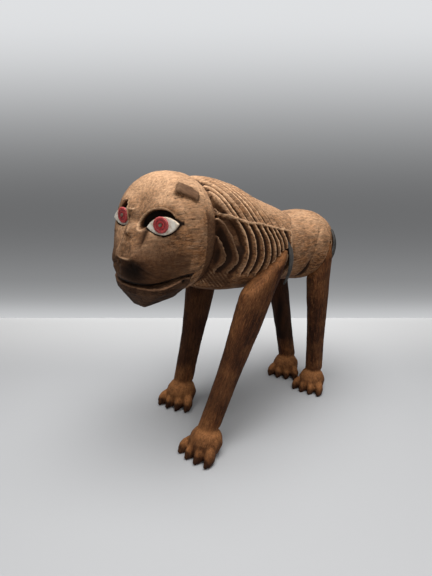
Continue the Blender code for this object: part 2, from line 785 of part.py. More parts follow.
for side, word in ((1, "left"), (-1, "right")):
    frame = eye_frame(side)
    seat = place(word + "_eye_seat", almond_solid(word + "_eye_seat", frame, -EYE_WHITE_SEAT - TOUCH_GAP,
                                                  EYE_SEAT_REACH, TOUCH_GAP, EYE_SEAT_FLARE))
    hollow = place(word + "_eye_hollow", ball(word + "_eye_hollow", (0, 0, 0), EYE_HOLLOW_SIZE, 12, 8))
    over = Vector((-side * EYE_HOLLOW_AT[0], EYE_HOLLOW_AT[1], EYE_HOLLOW_AT[2])) * SHARE
    hollow.matrix_world = frame @ Matrix.Translation(over)
    pinned = frame @ Matrix.Translation(Vector((-side * DISC_INWARD[side], 0.0, DISC_RISE)) * SHARE)
    drill = place(word + "_pin_drill", round_bar(word + "_pin_drill", pinned, -PIN_DEPTH, PIN_DRILL_REACH,
                                                 EYE_PIN_DIAMETER + 2.0 * TOUCH_GAP, PIN_SIDES))
    for cutter in (hollow, seat, drill):
        combine(body, cutter, "DIFFERENCE")
    inlay = almond_solid(word + "_eye_white", frame, -EYE_WHITE_SEAT, EYE_LIFT)
    white = place(word + "_eye_white", inlay, eye_white)
    combine(white, drill, "DIFFERENCE")
    disc_back = EYE_LIFT + TOUCH_GAP
    disc_front = disc_back + EYE_DISC_THICKNESS
    disc = place(word + "_eye_disc", round_bar(word + "_eye_disc", pinned, disc_back, disc_front,
                                               EYE_DISC_DIAMETER, DISC_SIDES), eye_red)
    step = disc.modifiers.new("Rounded rim", "BEVEL")
    step.width = EYE_DISC_BEVEL
    step.segments = 1
    combine(disc, drill, "DIFFERENCE")
    shank = round_bar(word + "_eye_pin", pinned, -PIN_DEPTH + TOUCH_GAP, disc_front + EYE_PIN_HEAD,
                      EYE_PIN_DIAMETER, PIN_SIDES)
    place(word + "_eye_pin", shank, pin_metal)


# Plates: thin crescents that stand upright behind the top of each leg


def plate_rings(middle, half_height, width, curl, grow=0.0):
    """Small rectangular sections from the lower point of the crescent to the upper one."""
    side = math.copysign(1.0, middle[0])
    wide = Vector((-side * math.sin(PLATE_TURN), math.cos(PLATE_TURN), 0.0))
    out = Vector((side * math.cos(PLATE_TURN), math.sin(PLATE_TURN), 0.0))
    rings = []
    for k in range(PLATE_ROWS + 1):
        v = -1.0 + 2.0 * k / PLATE_ROWS
        spot = (Vector(middle) + Vector((0, 0, v * half_height)) - out * (curl * v * v)) * SHARE
        share = PLATE_POINT + (1.0 - PLATE_POINT) * (1.0 - v * v) ** PLATE_FULLNESS
        half = 0.5 * width * share * SHARE + grow
        thick = 0.5 * PLATE_THICKNESS + grow
        lift = Vector((0, 0, math.copysign(grow, v))) if k in (0, PLATE_ROWS) else Vector((0, 0, 0))
        rings.append([spot + lift + wide * a * half + out * b * thick
                      for a, b in PLATE_SECTION])
    return rings


for name, shape in PLATES.items():
    place(name + "_plate", loft(name + "_plate", plate_rings(*shape)), grey_plate)
    seat = loft(name + "_plate_seat", plate_rings(*shape, PLATE_CLEARANCE))
    combine(body, place(name + "_plate_seat", seat), "DIFFERENCE")

# Bring the origin under the middle of the lion
for thing in (*lion.objects, *guides.objects):
    thing.location -= Vector((*ORIGIN_AT, 0.0)) * SHARE
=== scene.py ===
import math

import bpy
import numpy as np
from mathutils import Matrix, Vector, noise


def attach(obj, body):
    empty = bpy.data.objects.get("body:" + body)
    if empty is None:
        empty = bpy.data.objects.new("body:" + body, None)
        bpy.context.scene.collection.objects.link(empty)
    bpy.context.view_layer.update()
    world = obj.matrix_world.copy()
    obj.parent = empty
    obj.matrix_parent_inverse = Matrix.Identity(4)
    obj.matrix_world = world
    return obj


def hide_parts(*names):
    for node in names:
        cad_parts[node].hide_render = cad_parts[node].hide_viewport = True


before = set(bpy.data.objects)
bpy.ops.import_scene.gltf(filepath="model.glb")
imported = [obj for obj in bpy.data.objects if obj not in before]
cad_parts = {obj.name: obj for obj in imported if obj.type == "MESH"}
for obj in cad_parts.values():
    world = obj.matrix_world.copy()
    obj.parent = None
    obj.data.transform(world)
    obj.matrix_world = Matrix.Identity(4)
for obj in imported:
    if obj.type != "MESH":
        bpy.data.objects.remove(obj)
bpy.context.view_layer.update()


# Carved body
# Head, mane, trunk, ears and tail are cut with a knife from one block of brown wood. The head is scraped
# smooth, the mane is cut in deep grooves with sharp crests, and the dry wood is dusty and painted lighter
# above, as top light, with painted shade below and in the grooves.

MM = 0.001
BODY_FACE = 1.27
MERGE_WITHIN = 0.01
MIDDLE = np.array((0.74, 10.86, 0.0))


def fine_copy(node, name, face):
    """A closed copy that stands for a part, divided evenly into faces of this many millimetres."""
    piece = bpy.data.objects.new(name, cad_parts[node].data.copy())
    bpy.context.collection.objects.link(piece)
    bpy.ops.object.select_all(action="DESELECT")
    bpy.context.view_layer.objects.active = piece
    piece.select_set(True)
    bpy.ops.object.mode_set(mode="EDIT")
    bpy.ops.mesh.select_all(action="SELECT")
    bpy.ops.mesh.remove_doubles(threshold=MERGE_WITHIN * MM)
    bpy.ops.object.mode_set(mode="OBJECT")
    even = piece.modifiers.new("Even faces", "REMESH")
    even.mode = "VOXEL"
    even.voxel_size = face * MM
    bpy.ops.object.modifier_apply(modifier=even.name)
    piece.data.materials.clear()
    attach(piece, "root")
    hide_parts(node)
    return piece


def points_of(mesh):
    """The mesh's points, in millimetres."""
    flat = np.empty(3 * len(mesh.vertices))
    mesh.vertices.foreach_get("co", flat)
    return flat.reshape(-1, 3) / MM


def put_points(mesh, points):
    """Move the mesh's points to these places, in millimetres."""
    mesh.vertices.foreach_set("co", (points * MM).ravel())
    mesh.update()


def normals_of(mesh):
    """Which way the skin faces at each point."""
    flat = np.empty(3 * len(mesh.vertices), dtype=np.float32)
    mesh.vertex_normals.foreach_get("vector", flat)
    return flat.reshape(-1, 3).astype(float)


def edges_of(mesh):
    """The two points of each edge."""
    flat = np.empty(2 * len(mesh.edges), dtype=np.int32)
    mesh.edges.foreach_get("vertices", flat)
    return flat.reshape(-1, 2)


def evened(edges, values, times, share):
    """Values drawn towards the mean of their neighbours, time after time."""
    count = np.bincount(edges.ravel(), minlength=len(values))[:, None]
    a, b = edges.T
    values = values if values.ndim == 2 else values[:, None]
    share = np.broadcast_to(np.asarray(share, float), len(values))[:, None]
    for _ in range(times):
        sums = [np.bincount(a, column[b], len(values)) + np.bincount(b, column[a], len(values))
                for column in values.T]
        values = values + share * (np.stack(sums, axis=1) / count - values)
    return values


def eased(x, low, high):
    """0 at low, 1 at high, smooth between."""
    t = np.clip((x - low) / (high - low), 0.0, 1.0)
    return t * t * (3.0 - 2.0 * t)


def hill(x, middle, width):
    """A smooth bump of height 1."""
    return np.exp(-(((x - middle) / width) ** 2))


def within(x, start, end):
    """1 along a stretch, easing in over its start and out over its end."""
    return eased(x, *start) * (1 - eased(x, *end))


def uneven(points, size, octaves=2):
    """A smooth random field, between about -1 and 1, whose lumps have this size along each axis."""
    stretched = points / np.asarray(size, float)
    return np.array([noise.fractal(Vector(p), 1.0, 2.0, octaves) for p in stretched])


# The trunk's form: place along the back, half width, top and bottom, in millimetres

SECTION_POWER = 2.25
MANE_STATIONS = ((-92, 24, 262, 190), (-84, 36, 278, 176), (-66, 46, 281, 165), (-36, 56, 275, 160),
                 (-8, 61, 262, 159), (20, 59, 252, 159), (64, 52, 240, 159))
BARREL_STATIONS = ((0, 55, 240, 160), (30, 53, 238, 160), (60, 49, 236, 157), (82, 47, 239, 154),
                   (98, 47, 240, 154), (112, 44, 238, 155), (123, 38, 232, 163), (130, 28, 221, 177),
                   (134, 14, 209, 189))
NECK_END = -92
MANE_START = (-84, -68)
MANE_END = (64, 20)
FLANK_ANGLE = 20


def between(stations, places):
    """Every column of a station table at each place, smooth and without overshooting."""
    table = np.array(stations, float)
    at, columns = table[:, 0], table[:, 1:]
    steps = np.diff(columns, axis=0) / np.diff(at)[:, None]
    both = steps[:-1] * steps[1:]
    total = steps[:-1] + steps[1:]
    slopes = np.zeros_like(columns)
    slopes[1:-1] = np.where(both > 0, 2 * both / np.where(total == 0, 1, total), 0)
    k = np.clip(np.searchsorted(at, places, side="right") - 1, 0, len(at) - 2)
    span = (at[k + 1] - at[k])[:, None]
    t = np.clip((places - at[k])[:, None] / span, 0, 1)
    rise = (2 * t**3 - 3 * t**2 + 1) * columns[k] + (3 * t**2 - 2 * t**3) * columns[k + 1]
    bend = (t**3 - 2 * t**2 + t) * slopes[k] + (t**3 - t**2) * slopes[k + 1]
    return (rise + span * bend).T


def trunk_measures(x, y, z, stations):
    """The angle up the flank, how far out of the round form a point lies, the form's middle and its share."""
    half_width, top, bottom = between(stations, y)
    middle, half_height = 0.5 * (top + bottom), 0.5 * (top - bottom)
    u = np.abs(x / half_width) ** (SECTION_POWER / 2)
    v = np.abs((z - middle) / half_height) ** (SECTION_POWER / 2)
    angle = np.degrees(np.arctan2(np.copysign(v, z - middle), u))
    scale = (u * u + v * v) ** (1 / SECTION_POWER)
    out = (1 - 1 / scale) * np.hypot(x, z - middle)
    return angle, out, middle, scale


def flank_place(y, angle):
    """Where on the flank the mane's locks come down that lie here higher up."""
    share = np.where(angle > 0, np.clip((90 - angle) / (90 - FLANK_ANGLE), 0, 1), 1.0)
    start = MANE_START[0] + (MANE_START[1] - MANE_START[0]) * share
    end = MANE_END[0] + (MANE_END[1] - MANE_END[0]) * share
    ahead = NECK_END + (y - NECK_END) * (MANE_START[1] - NECK_END) / (start - NECK_END)
    inside = MANE_START[1] + (MANE_END[1] - MANE_START[1]) * (y - start) / (end - start)
    return np.where(y < start, ahead, inside), y < end


# Where the crests of the leaf-shaped lock and of the ribs behind it cross the flank, and how deep the cuts
# between them are. Each crest sweeps forward towards the ridge, the leaf's further and from lower down.

CRESTS = (-76.0, -62.0, -50.0, -41.0, -32.0, -23.0, -14.6, -7.2, 0.2, 6.6, 12.6, 20.0)
RIB_DEPTH = 6.4
RIB_ROUND = 0.55
RIB_ANGLES = (-41, -30)
CREST_DROP = 0.26
RIDGE_FOOT = (-1.6, 0.2)
SWEEP_ANGLES = (-12, 24)
SWEEP_UP = 17.0
SWEEP_DOWN = 3.0
SWEEP_LAST = 12
DOWN_REACH = 20
DOWN_POWER = 1.6
LEAF_CRESTS = (1, 2)
LEAF_DEPTH = 8.0
LEAF_SLOPE = 1.2
LEAF_BULGE = 1.6
LEAF_SWEEP = 24.0
LEAF_SWEEPS = (-22, 22)
LEAF_POWER = 1.6
LEAF_DOWN = 8.0
RECESS_DEPTH = 1.6
RECESS_ANGLES = (-14, -2)
RECESS_DROP = 0.12
RECESS_RISE = (0.62, 1.0)
RIDGE_PLACES = (-70, -40, -14, 16)
RIDGE_ANGLES = (21.5, 16, 19.5, 21)


def crest_lines(angle):
    """Where each crest lies along the flank at each angle, from the cheek to the end of the mane."""
    low, high = SWEEP_ANGLES
    up = np.clip((angle - low) / (high - low), 0, 1)
    down = np.clip((low - angle) / DOWN_REACH, 0, 1) ** DOWN_POWER
    sweep = SWEEP_UP * up**2 + SWEEP_DOWN * down
    low, high = LEAF_SWEEPS
    leaf = LEAF_SWEEP * np.clip((angle - low) / (high - low), 0, 1) ** LEAF_POWER + LEAF_DOWN * down
    lines = []
    for k, crest in enumerate(CRESTS):
        last = min((MANE_END[1] - crest) / SWEEP_LAST, 1)
        lines.append(crest - (leaf if k in LEAF_CRESTS else sweep * last))
    return np.stack(lines)


def rib_cut(flank, angle, ridge):
    """How deep the flank is cut between the crests of the ribs."""
    lines = crest_lines(angle)
    k = np.clip((flank[None] > lines).sum(axis=0) - 1, 0, len(CRESTS) - 2)
    here = np.take_along_axis(lines, k[None], 0)[0]
    after = np.take_along_axis(lines, k[None] + 1, 0)[0]
    t = np.clip((flank - here) / (after - here), 0, 1)
    leaf = k < LEAF_CRESTS[-1]
    recess = (k == LEAF_CRESTS[-1]) * eased(angle, *RECESS_ANGLES)
    rising = (np.clip(t - CREST_DROP, 0, 1) / (1 - CREST_DROP)) ** RIB_ROUND
    height = np.where(t < CREST_DROP, 1 - t / CREST_DROP, rising)
    height = np.where(leaf, t**LEAF_SLOPE, height)
    hollow = np.where(t < RECESS_DROP, 1 - t / RECESS_DROP, eased(t, *RECESS_RISE))
    height = height * (1 - recess) + recess * hollow
    depth = np.where(leaf, LEAF_DEPTH, RIB_DEPTH) + RECESS_DEPTH * recess
    cut = depth * (1 - height) - LEAF_BULGE * leaf * height
    foot = eased(angle, ridge + RIDGE_FOOT[0], ridge + RIDGE_FOOT[1])
    return cut * eased(angle, *RIB_ANGLES) * (1 - foot)


LOCK_PLACES = (-64.0, -55.0, -49.0, -41.5, -32.5, -26.5, -19.5, -9.0, 2.0, 14.0, 27.0)
LOCK_DEPTHS = (7.0, 2.0, 4.0, 1.7, 3.0, 1.4, 2.4, 1.7, 1.5, 1.2, 0.9)
LOCK_WIDTHS = (4.6, 1.4, 2.4, 1.4, 2.0, 1.4, 1.8, 1.6, 1.5, 1.4, 1.3)
LOCK_SLANT = 0.55
LOCK_LEVEL = 21
LOCK_STARTS = (0.3, 2.5)
LOCK_ENDS = (50, 76)
LIP_AHEAD = 1.35
LIP_WIDTH = 0.55
LIP_HEIGHT = 0.22


def lock_cut(y, angle, ridge):
    """How deep the long slanting grooves between the locks above the ridge are cut."""
    place = y + LOCK_SLANT * (angle - LOCK_LEVEL)
    cut = np.zeros_like(y)
    for at, depth, width in zip(LOCK_PLACES, LOCK_DEPTHS, LOCK_WIDTHS):
        groove = np.clip(1 - np.abs(place - at) / width, 0, 1)
        lip = hill(place, at - LIP_AHEAD * width, LIP_WIDTH * width)
        cut += depth * (groove - LIP_HEIGHT * lip)
    return cut * eased(angle - ridge, *LOCK_STARTS) * (1 - eased(angle, *LOCK_ENDS))


BEAD_HEIGHT = 0.35
BEAD_WIDTH = 0.9
BEAD_FROM = (-80, -68)
STEP_HEIGHT = 1.3
STEP_ANGLES = ((0.2, 1.8), (3, 20))
STRIPE_DEPTH = 1.9
STRIPE_PITCH = 5.2
STRIPE_HALF = 1.3
STRIPE_LEAN = 1.1
STRIPE_START = (-70, -36.5)
STRIPE_PLACES = ((-82, -74), (-56, -50))
STRIPE_ANGLES = ((33, 36), (58, 66))


def mane_cut(y, flank, angle):
    """Everything that is carved into the mane, below or above its round form."""
    ridge = np.interp(y, RIDGE_PLACES, RIDGE_ANGLES)
    bead = BEAD_HEIGHT * hill(angle, ridge, BEAD_WIDTH) * eased(y, *BEAD_FROM)
    step = STEP_HEIGHT * within(angle - ridge, *STEP_ANGLES)
    stripe = angle - STRIPE_START[1] + STRIPE_LEAN * (y - STRIPE_START[0])
    stripes = np.abs(stripe % STRIPE_PITCH - STRIPE_PITCH / 2) / STRIPE_HALF
    stripes = np.clip(1 - stripes, 0, 1) * within(y, *STRIPE_PLACES) * within(-angle, *STRIPE_ANGLES)
    return rib_cut(flank, angle, ridge) + lock_cut(y, angle, ridge) - bead + step + STRIPE_DEPTH * stripes


# Height or depth, then middle and width along the trunk, then middle and width up the flank

THIGH_SWELL = (3.0, (88, 14), (-15, 38))
THIGH_HOLLOW = (4.5, (69, 7), (-42, 26))
CREASE_DEPTH = 1.3
CREASE_WIDTH = 2.6
CREASE_CURVE = (0.0055, 0.33, 73.3)
CREASE_ANGLES = ((-50, -36), (24, 40))


def mound(form, along, around):
    """A smooth bump with this height, and this middle and width both ways."""
    height, place, angle = form
    return height * hill(along, *place) * hill(around, *angle)


def barrel_cut(y, angle):
    """The haunch swells over each thigh, with a hollow and a soft crease ahead of it."""
    crease = CREASE_DEPTH * hill(y, np.polyval(CREASE_CURVE, angle), CREASE_WIDTH)
    crease *= within(angle, *CREASE_ANGLES)
    return mound(THIGH_HOLLOW, y, angle) + crease - mound(THIGH_SWELL, y, angle)


# The head's form, on its own axes (left, forward, up) from its middle

HEAD_FRAME = (Matrix.Translation((0.74, -94.14, 226)) @ Matrix.Rotation(math.radians(15), 4, "Z")
              @ Matrix.Rotation(math.radians(6), 4, "Y"))
HEAD_POWER = 2.25
HEAD_HALF = {"wide": 50, "front": 41, "back": 46, "rise": 62, "drop": 57}
MIDDLE_LOBES = ((-6.5, (0.0, 0.60, 0.80), 0.70), (14.0, (0.0, 0.86, -0.56), 0.50))
PAIRED_LOBES = ((4.0, (0.30, 0.80, -0.42), 0.30), (4.5, (0.42, 0.78, 0.58), 0.26),
                (-7.0, (0.50, 0.74, 0.34), 0.20), (-4.0, (0.22, 0.86, -0.46), 0.12))
NOSE_RISE = 5.0
NOSE_SPREAD = 0.17
NOSE_SPAN = ((-0.62, -0.35), (0.15, 0.45))


def on_axes(points, matrix):
    """The points as seen from a frame: left, forward, up."""
    turn = np.array(matrix.to_3x3())
    local = (points - np.array(matrix.translation)) @ turn
    return local * np.array((1.0, -1.0, 1.0))


def off_axes(local, matrix):
    """Back from a frame's left, forward, up."""
    turn = np.array(matrix.to_3x3())
    return (local * np.array((1.0, -1.0, 1.0))) @ turn.T + np.array(matrix.translation)


def head_radius(d):
    """How far the head's skin lies from its middle in each direction."""
    left, forward, up = d.T
    depth = np.where(forward > 0, HEAD_HALF["front"], HEAD_HALF["back"])
    height = np.where(up > 0, HEAD_HALF["rise"], HEAD_HALF["drop"])
    sums = np.abs(left / HEAD_HALF["wide"]) ** HEAD_POWER + np.abs(forward / depth) ** HEAD_POWER
    radius = (sums + np.abs(up / height) ** HEAD_POWER) ** (-1 / HEAD_POWER)
    folded = np.abs(d[:, :1]) * np.array((1.0, 0, 0)) + d * np.array((0, 1.0, 1.0))
    for lobes, way in ((MIDDLE_LOBES, d), (PAIRED_LOBES, folded)):
        for amount, towards, width in lobes:
            towards = np.array(towards) / np.linalg.norm(towards)
            radius = radius + amount * np.exp(-(np.linalg.norm(way - towards, axis=1) / width) ** 2)
    nose = NOSE_RISE * hill(left, 0.0, NOSE_SPREAD) * within(up, *NOSE_SPAN)
    return radius + nose * (forward > 0)


EAR_TOWARDS = {1: (0.55, 0.14, 0.73), -1: (-0.58, -0.22, 0.66)}
EAR_SLOPE = (0.45, -0.62, -0.55)
EAR_SUNK = 1.2
EAR_HALF = (7.5, 11.0)
EAR_FOOT = 0.2


def ear_places(local, side):
    """Each point from the middle of an ear: across it, along it to its front end, out of the head."""
    out = np.array(EAR_TOWARDS[side]) / np.linalg.norm(EAR_TOWARDS[side])
    middle = out * (head_radius(out[None])[0] - EAR_SUNK)
    ahead = np.array((side, 1.0, 1.0)) * np.array(EAR_SLOPE)
    ahead = ahead - out * (ahead @ out)
    ahead /= np.linalg.norm(ahead)
    return (local - middle) @ np.stack((np.cross(ahead, out), ahead, out), axis=1)


def on_ear(local, margin=1.4):
    """1 where a point belongs to an ear's slab."""
    inside = np.zeros(len(local))
    for side in (1, -1):
        across, along, out = ear_places(local, side).T
        slab = (np.abs(across) < EAR_HALF[0] + margin) * (np.abs(along) < EAR_HALF[1] + margin)
        inside = np.maximum(inside, slab * (out > EAR_FOOT))
    return inside


EYES = {1: ((26.5, 32.0, 15.5), 15), -1: ((-21.5, 32.0, 16.5), 8)}
EYE_ROLL = 12


def eye_frame(side):
    """An eye's own axes: towards its outer corner on the left side, out of the head, up."""
    (left, forward, up), outward = EYES[side]
    turned = Matrix.Rotation(math.radians(side * outward), 4, "Z")
    turned = turned @ Matrix.Rotation(math.radians(-EYE_ROLL), 4, "Y")
    return HEAD_FRAME @ Matrix.Translation((left, -forward, up)) @ turned


# Which of the trunk's and the head's skin is brought onto the round forms: how squarely it faces, how far off
# them it lies and where, each with the stretch over which it eases

TRUNK_FACING = (0.20, 0.50)
TRUNK_OFF = ((-9.0, -6.5), (4.0, 5.5))
TRUNK_PLACES = ((-88, -80), (120, 130))
HEAD_FACING = (0.35, 0.65)
HEAD_OFF = (1.2, 2.4)
HEAD_CLEAR = (0.0, 1.5)
NECK_GROOVE = 3.6
NECK_WIDTH = 3.2
NECK_FROM = -90
CREST_CUT = (0.2, 1.3)
CREST_ANGLES = ((-42, -30), (23, 25))
GROOVE_CUT = (0.7, 3.4)


def round_body(mesh):
    """Bring the skin of trunk and head from flat facets onto their round forms, with the mane's grooves."""
    points, normals = points_of(mesh), normals_of(mesh)
    x, y, z = (points - MIDDLE).T
    side = np.copysign(1.0, x)

    mane = trunk_measures(x, y, z, MANE_STATIONS)
    barrel = trunk_measures(x, y, z, BARREL_STATIONS)
    flank, in_mane = flank_place(y, mane[0])
    angle, out, middle, scale = (np.where(in_mane, a, b) for a, b in zip(mane, barrel))
    cut = np.where(in_mane, mane_cut(y, flank, angle), barrel_cut(y, angle))
    turn = np.radians(angle)
    way = np.stack((side * np.cos(turn), np.zeros_like(x), np.sin(turn)), axis=1)
    facing = np.einsum("ij,ij->i", way, normals)
    skin = eased(facing, *TRUNK_FACING) * within(out, *TRUNK_OFF) * within(y, *TRUNK_PLACES)

    local = on_axes(points, HEAD_FRAME)
    far = np.linalg.norm(local, axis=1)
    toward = local / far[:, None]
    gap = far - head_radius(toward)
    outward = off_axes(toward, HEAD_FRAME) - np.array(HEAD_FRAME.translation)
    facing = np.einsum("ij,ij->i", outward, normals)
    on_head = (1 - eased(np.abs(gap), *HEAD_OFF)) * eased(facing, *HEAD_FACING)
    skin *= (1 - on_head) * eased(gap, *HEAD_CLEAR)
    on_head = on_head * (1 - on_ear(local))

    cut = cut + NECK_GROOVE * hill(gap, 0.0, NECK_WIDTH) * (y > NECK_FROM)
    target = np.stack((x / scale, y, middle + (z - middle) / scale), axis=1) - way * cut[:, None]
    moved = points + skin[:, None] * (target + MIDDLE - points)
    moved = moved - (on_head * gap)[:, None] * outward
    put_points(mesh, moved)
    # The crest mask is for a painted highlight along the ribs' crests, the groove mask for painted shade in
    # the grooves.
    crest = skin * in_mane * (1 - eased(cut, *CREST_CUT)) * within(angle, *CREST_ANGLES)
    return skin * eased(cut, *GROOVE_CUT), crest


body = fine_copy("carved_body", "lion_body", BODY_FACE)
mesh = body.data
edges = edges_of(mesh)
round_body(mesh)
groove, crest = round_body(mesh)
CALM = 0.35
CALM_TIMES = 2
EAR_CALM = 0.8
calm = CALM * (1 - EAR_CALM * on_ear(on_axes(points_of(mesh), HEAD_FRAME)))
put_points(mesh, evened(edges, points_of(mesh), CALM_TIMES, calm))

# Face: the nose is a broad flat wedge between the eyes, the brows hang over the eyes, and the mouth ends in a
# cut. Single lengths are depths or places; pairs are a middle and a width, or a stretch that eases.

NOSE_SIDE = {"deep": 1.7, "at": 11.5, "flare": 0.10, "from": -7, "wide": 1.9, "up": ((-15, -6), (13, 18))}
NOSE_UNDER = {"deep": 3.0, "down": ((15.0, 18.5), (26, 35)), "beside": (7, 13)}
NOSTRIL = {"deep": 2.2, "beside": (6.5, 2.2), "up": (-21.5, 2.0)}
LIP_FOLD = {"deep": 1.2, "slope": 0.55, "from": 10, "up": (-20, 1.8), "beside": ((9, 12), (24, 30))}
EYE_FOLD = {"deep": 0.45, "slope": 0.35, "from": 26, "up": (2.0, 1.4), "beside": ((14, 18), (36, 40))}
CROWN = {"high": 2.6, "left": (-3.0, 5.5), "up": ((-14, 10), (22, 34))}
NOSE_FLAT = {"forward": 52.2, "from": -15.0, "slope": 0.30, "beside": (8, 12), "up": ((-16.5, -14.5), (2, 8))}
FLAT_MOST = 5
FACE_FRONT = (24, 32)
MOUTH_CORNER = {"deep": 3.4, "beside": (38.5, 3.0), "forward": (17, 4.5), "up": (-34.0, 3.0)}
BROW_AT = {1: (-6.0, 3.2), -1: (-5.0, 2.0)}
BROW_SIZE = (16.8, 11.6)
BROW_BACK = -5.5
BROW_LEAN = 0.1
BROW_EDGE = (0.82, 1.08)
BROW_FOOT = (-2.5, 0.5)
BROW_REACH = 24
BROW_FILL = (7.5, 9.0)
FILL_END = (22, 26)
FILL_UP = ((-3, 0), (16, 20))
FILL_DEPTH = 14
BROW_OUT = 20
LID_ACROSS = ((8.0, 9.5), (17, 22))
LID_MARGIN = 3
LID_DEPTH = 12
LID_OUT = 3.4
EYE_HALF_LENGTH = 16.0
EYE_ABOVE = 7.8
EYE_BELOW = 8.5


def eye_places(points, side):
    """Each point from the middle of an eye: towards its outer corner, out of the head, up."""
    local = on_axes(points, eye_frame(side))
    return local * np.array((side, 1.0, 1.0))


def almond(across):
    """How high and how low the white reaches at a place across it."""
    share = np.clip(1 - (across / EYE_HALF_LENGTH) ** 2, 0, 1) ** 0.9
    return EYE_ABOVE * share, -EYE_BELOW * share


def brow_inside(local, side):
    """1 under the brow's arch, 0 outside it, with its edge sharp."""
    across, _, up = local.T
    middle = BROW_AT[side]
    wide = (across - middle[0]) / BROW_SIZE[0]
    high = (up - side * BROW_LEAN * across - middle[1]) / BROW_SIZE[1]
    arch = (1 - eased(wide**2 + high**2, *BROW_EDGE)) * eased(up, *BROW_FOOT) * (np.abs(across) < BROW_REACH)
    return arch if side > 0 else arch * (1 - eased(-across, *BROW_FILL))


def fill_brow(points):
    """Close the inner end of the far brow's hollow, onto the head's round form."""
    local = on_axes(points, HEAD_FRAME)
    across, out, up = eye_places(points, -1).T
    full = within(-across, BROW_FILL, FILL_END) * within(up, *FILL_UP) * (np.abs(out) < FILL_DEPTH)
    toward = local / np.linalg.norm(local, axis=1)[:, None]
    return local + full[:, None] * (toward * head_radius(toward)[:, None] - local)


def carve_nose(local):
    """Cut the nose, the folds and the mouth's corners into the front of the head."""
    left, forward, up = local.T
    beside = np.abs(left)

    form = NOSE_SIDE
    side = form["deep"] * hill(beside, form["at"] + form["flare"] * (up - form["from"]), form["wide"])
    side *= within(up, *form["up"])
    form = NOSE_UNDER
    under = form["deep"] * within(-up, *form["down"]) * (1 - eased(beside, *form["beside"]))
    form = NOSTRIL
    nostril = form["deep"] * hill(beside, *form["beside"]) * hill(up, *form["up"])
    form = LIP_FOLD
    fold = form["deep"] * hill(up + form["slope"] * (beside - form["from"]), *form["up"])
    fold *= within(beside, *form["beside"])
    form = EYE_FOLD
    lid = form["deep"] * hill(up + form["slope"] * np.abs(beside - form["from"]), *form["up"])
    lid *= within(beside, *form["beside"])
    form = CROWN
    crown = form["high"] * hill(left, *form["left"]) * within(up, *form["up"])
    forward = forward - eased(forward, *FACE_FRONT) * (side + under + nostril + fold + lid - crown)

    form = NOSE_FLAT
    flat = form["forward"] - form["slope"] * (up - form["from"])
    near = (1 - eased(np.abs(left + 1), *form["beside"])) * within(up, *form["up"])
    forward = forward - near * np.clip(forward - flat, 0, FLAT_MOST)
    form = MOUTH_CORNER
    corner = form["deep"] * hill(beside, *form["beside"]) * hill(forward, *form["forward"])
    left = left - np.sign(left) * corner * hill(up, *form["up"])
    return np.stack((left, forward, up), axis=1)


def carve_face(mesh):
    """Cut the nose, the mouth's corners and the brows' hollows, and bring a lid over the far eye's corner."""
    points = off_axes(carve_nose(fill_brow(points_of(mesh))), HEAD_FRAME)
    for side in (1, -1):
        seen = eye_places(points, side)
        inside = brow_inside(seen, side) * (seen[:, 1] > BROW_BACK) * (seen[:, 1] < BROW_OUT)
        seen[:, 1] += inside * (BROW_BACK - seen[:, 1])
        if side < 0:
            above, below = almond(np.clip(seen[:, 0], -LID_DEPTH, LID_DEPTH))
            lid = within(-seen[:, 0], *LID_ACROSS) * (np.abs(seen[:, 1]) < LID_DEPTH)
            lid *= (seen[:, 2] < above + LID_MARGIN) * (seen[:, 2] > below - LID_MARGIN)
            seen[:, 1] += lid * np.maximum(LID_OUT - seen[:, 1], 0)
        points = off_axes(seen * np.array((side, 1.0, 1.0)), eye_frame(side))
    put_points(mesh, points)


carve_face(mesh)

# Knife work: shallow flats all over, long strokes along the trunk, and a little unevenness of hand

KNIFE_FLATS = 0.34
KNIFE_SIZE = (7.5, 12.0, 7.5)
STROKES = 0.24
STROKE_SIZE = (2.6, 16.0, 2.6)
WAVES = 0.35
WAVE_SIZE = (16.0, 24.0, 16.0)
MOST_LIFT = 0.7
SCOOP_MEAN = 0.45


def knife_flats(points, size):
    """Shallow scoops side by side, as a knife leaves them, some below and some above nothing."""
    stretched = points / np.asarray(size, float)
    return np.array([noise.voronoi(Vector(p))[0][0] for p in stretched]) - SCOOP_MEAN


points, normals = points_of(mesh), normals_of(mesh)
lift = KNIFE_FLATS * knife_flats(points, KNIFE_SIZE) + STROKES * uneven(points, STROKE_SIZE)
lift = lift + WAVES * uneven(points, WAVE_SIZE, 1)
put_points(mesh, points + normals * np.clip(lift, -MOST_LIFT, MOST_LIFT)[:, None])


def grain_along(points, way):
    """The points as seen along the grain: two measures across it and the third along it."""
    way = np.array(way) / np.linalg.norm(way)
    across = np.cross(way, (1.0, 0.0, 0.0))
    across /= np.linalg.norm(across)
    return points @ np.stack((across, np.cross(way, across), way), axis=1)


RELIEF_NEAR = 3
SKIN_EVENING = 0.6
# Upward-facing skin is paler: dust, and painted top light.
UPWARD_TIMES = 12
UPWARD = (-0.2, 0.95)
# A painted highlight along the mane's crests, added to how proud the skin is.
CREST_HIGHLIGHT = 0.05
# Painted shade in the mane's grooves, added to how hollow the skin is.
GROOVE_SHADE = 2.0


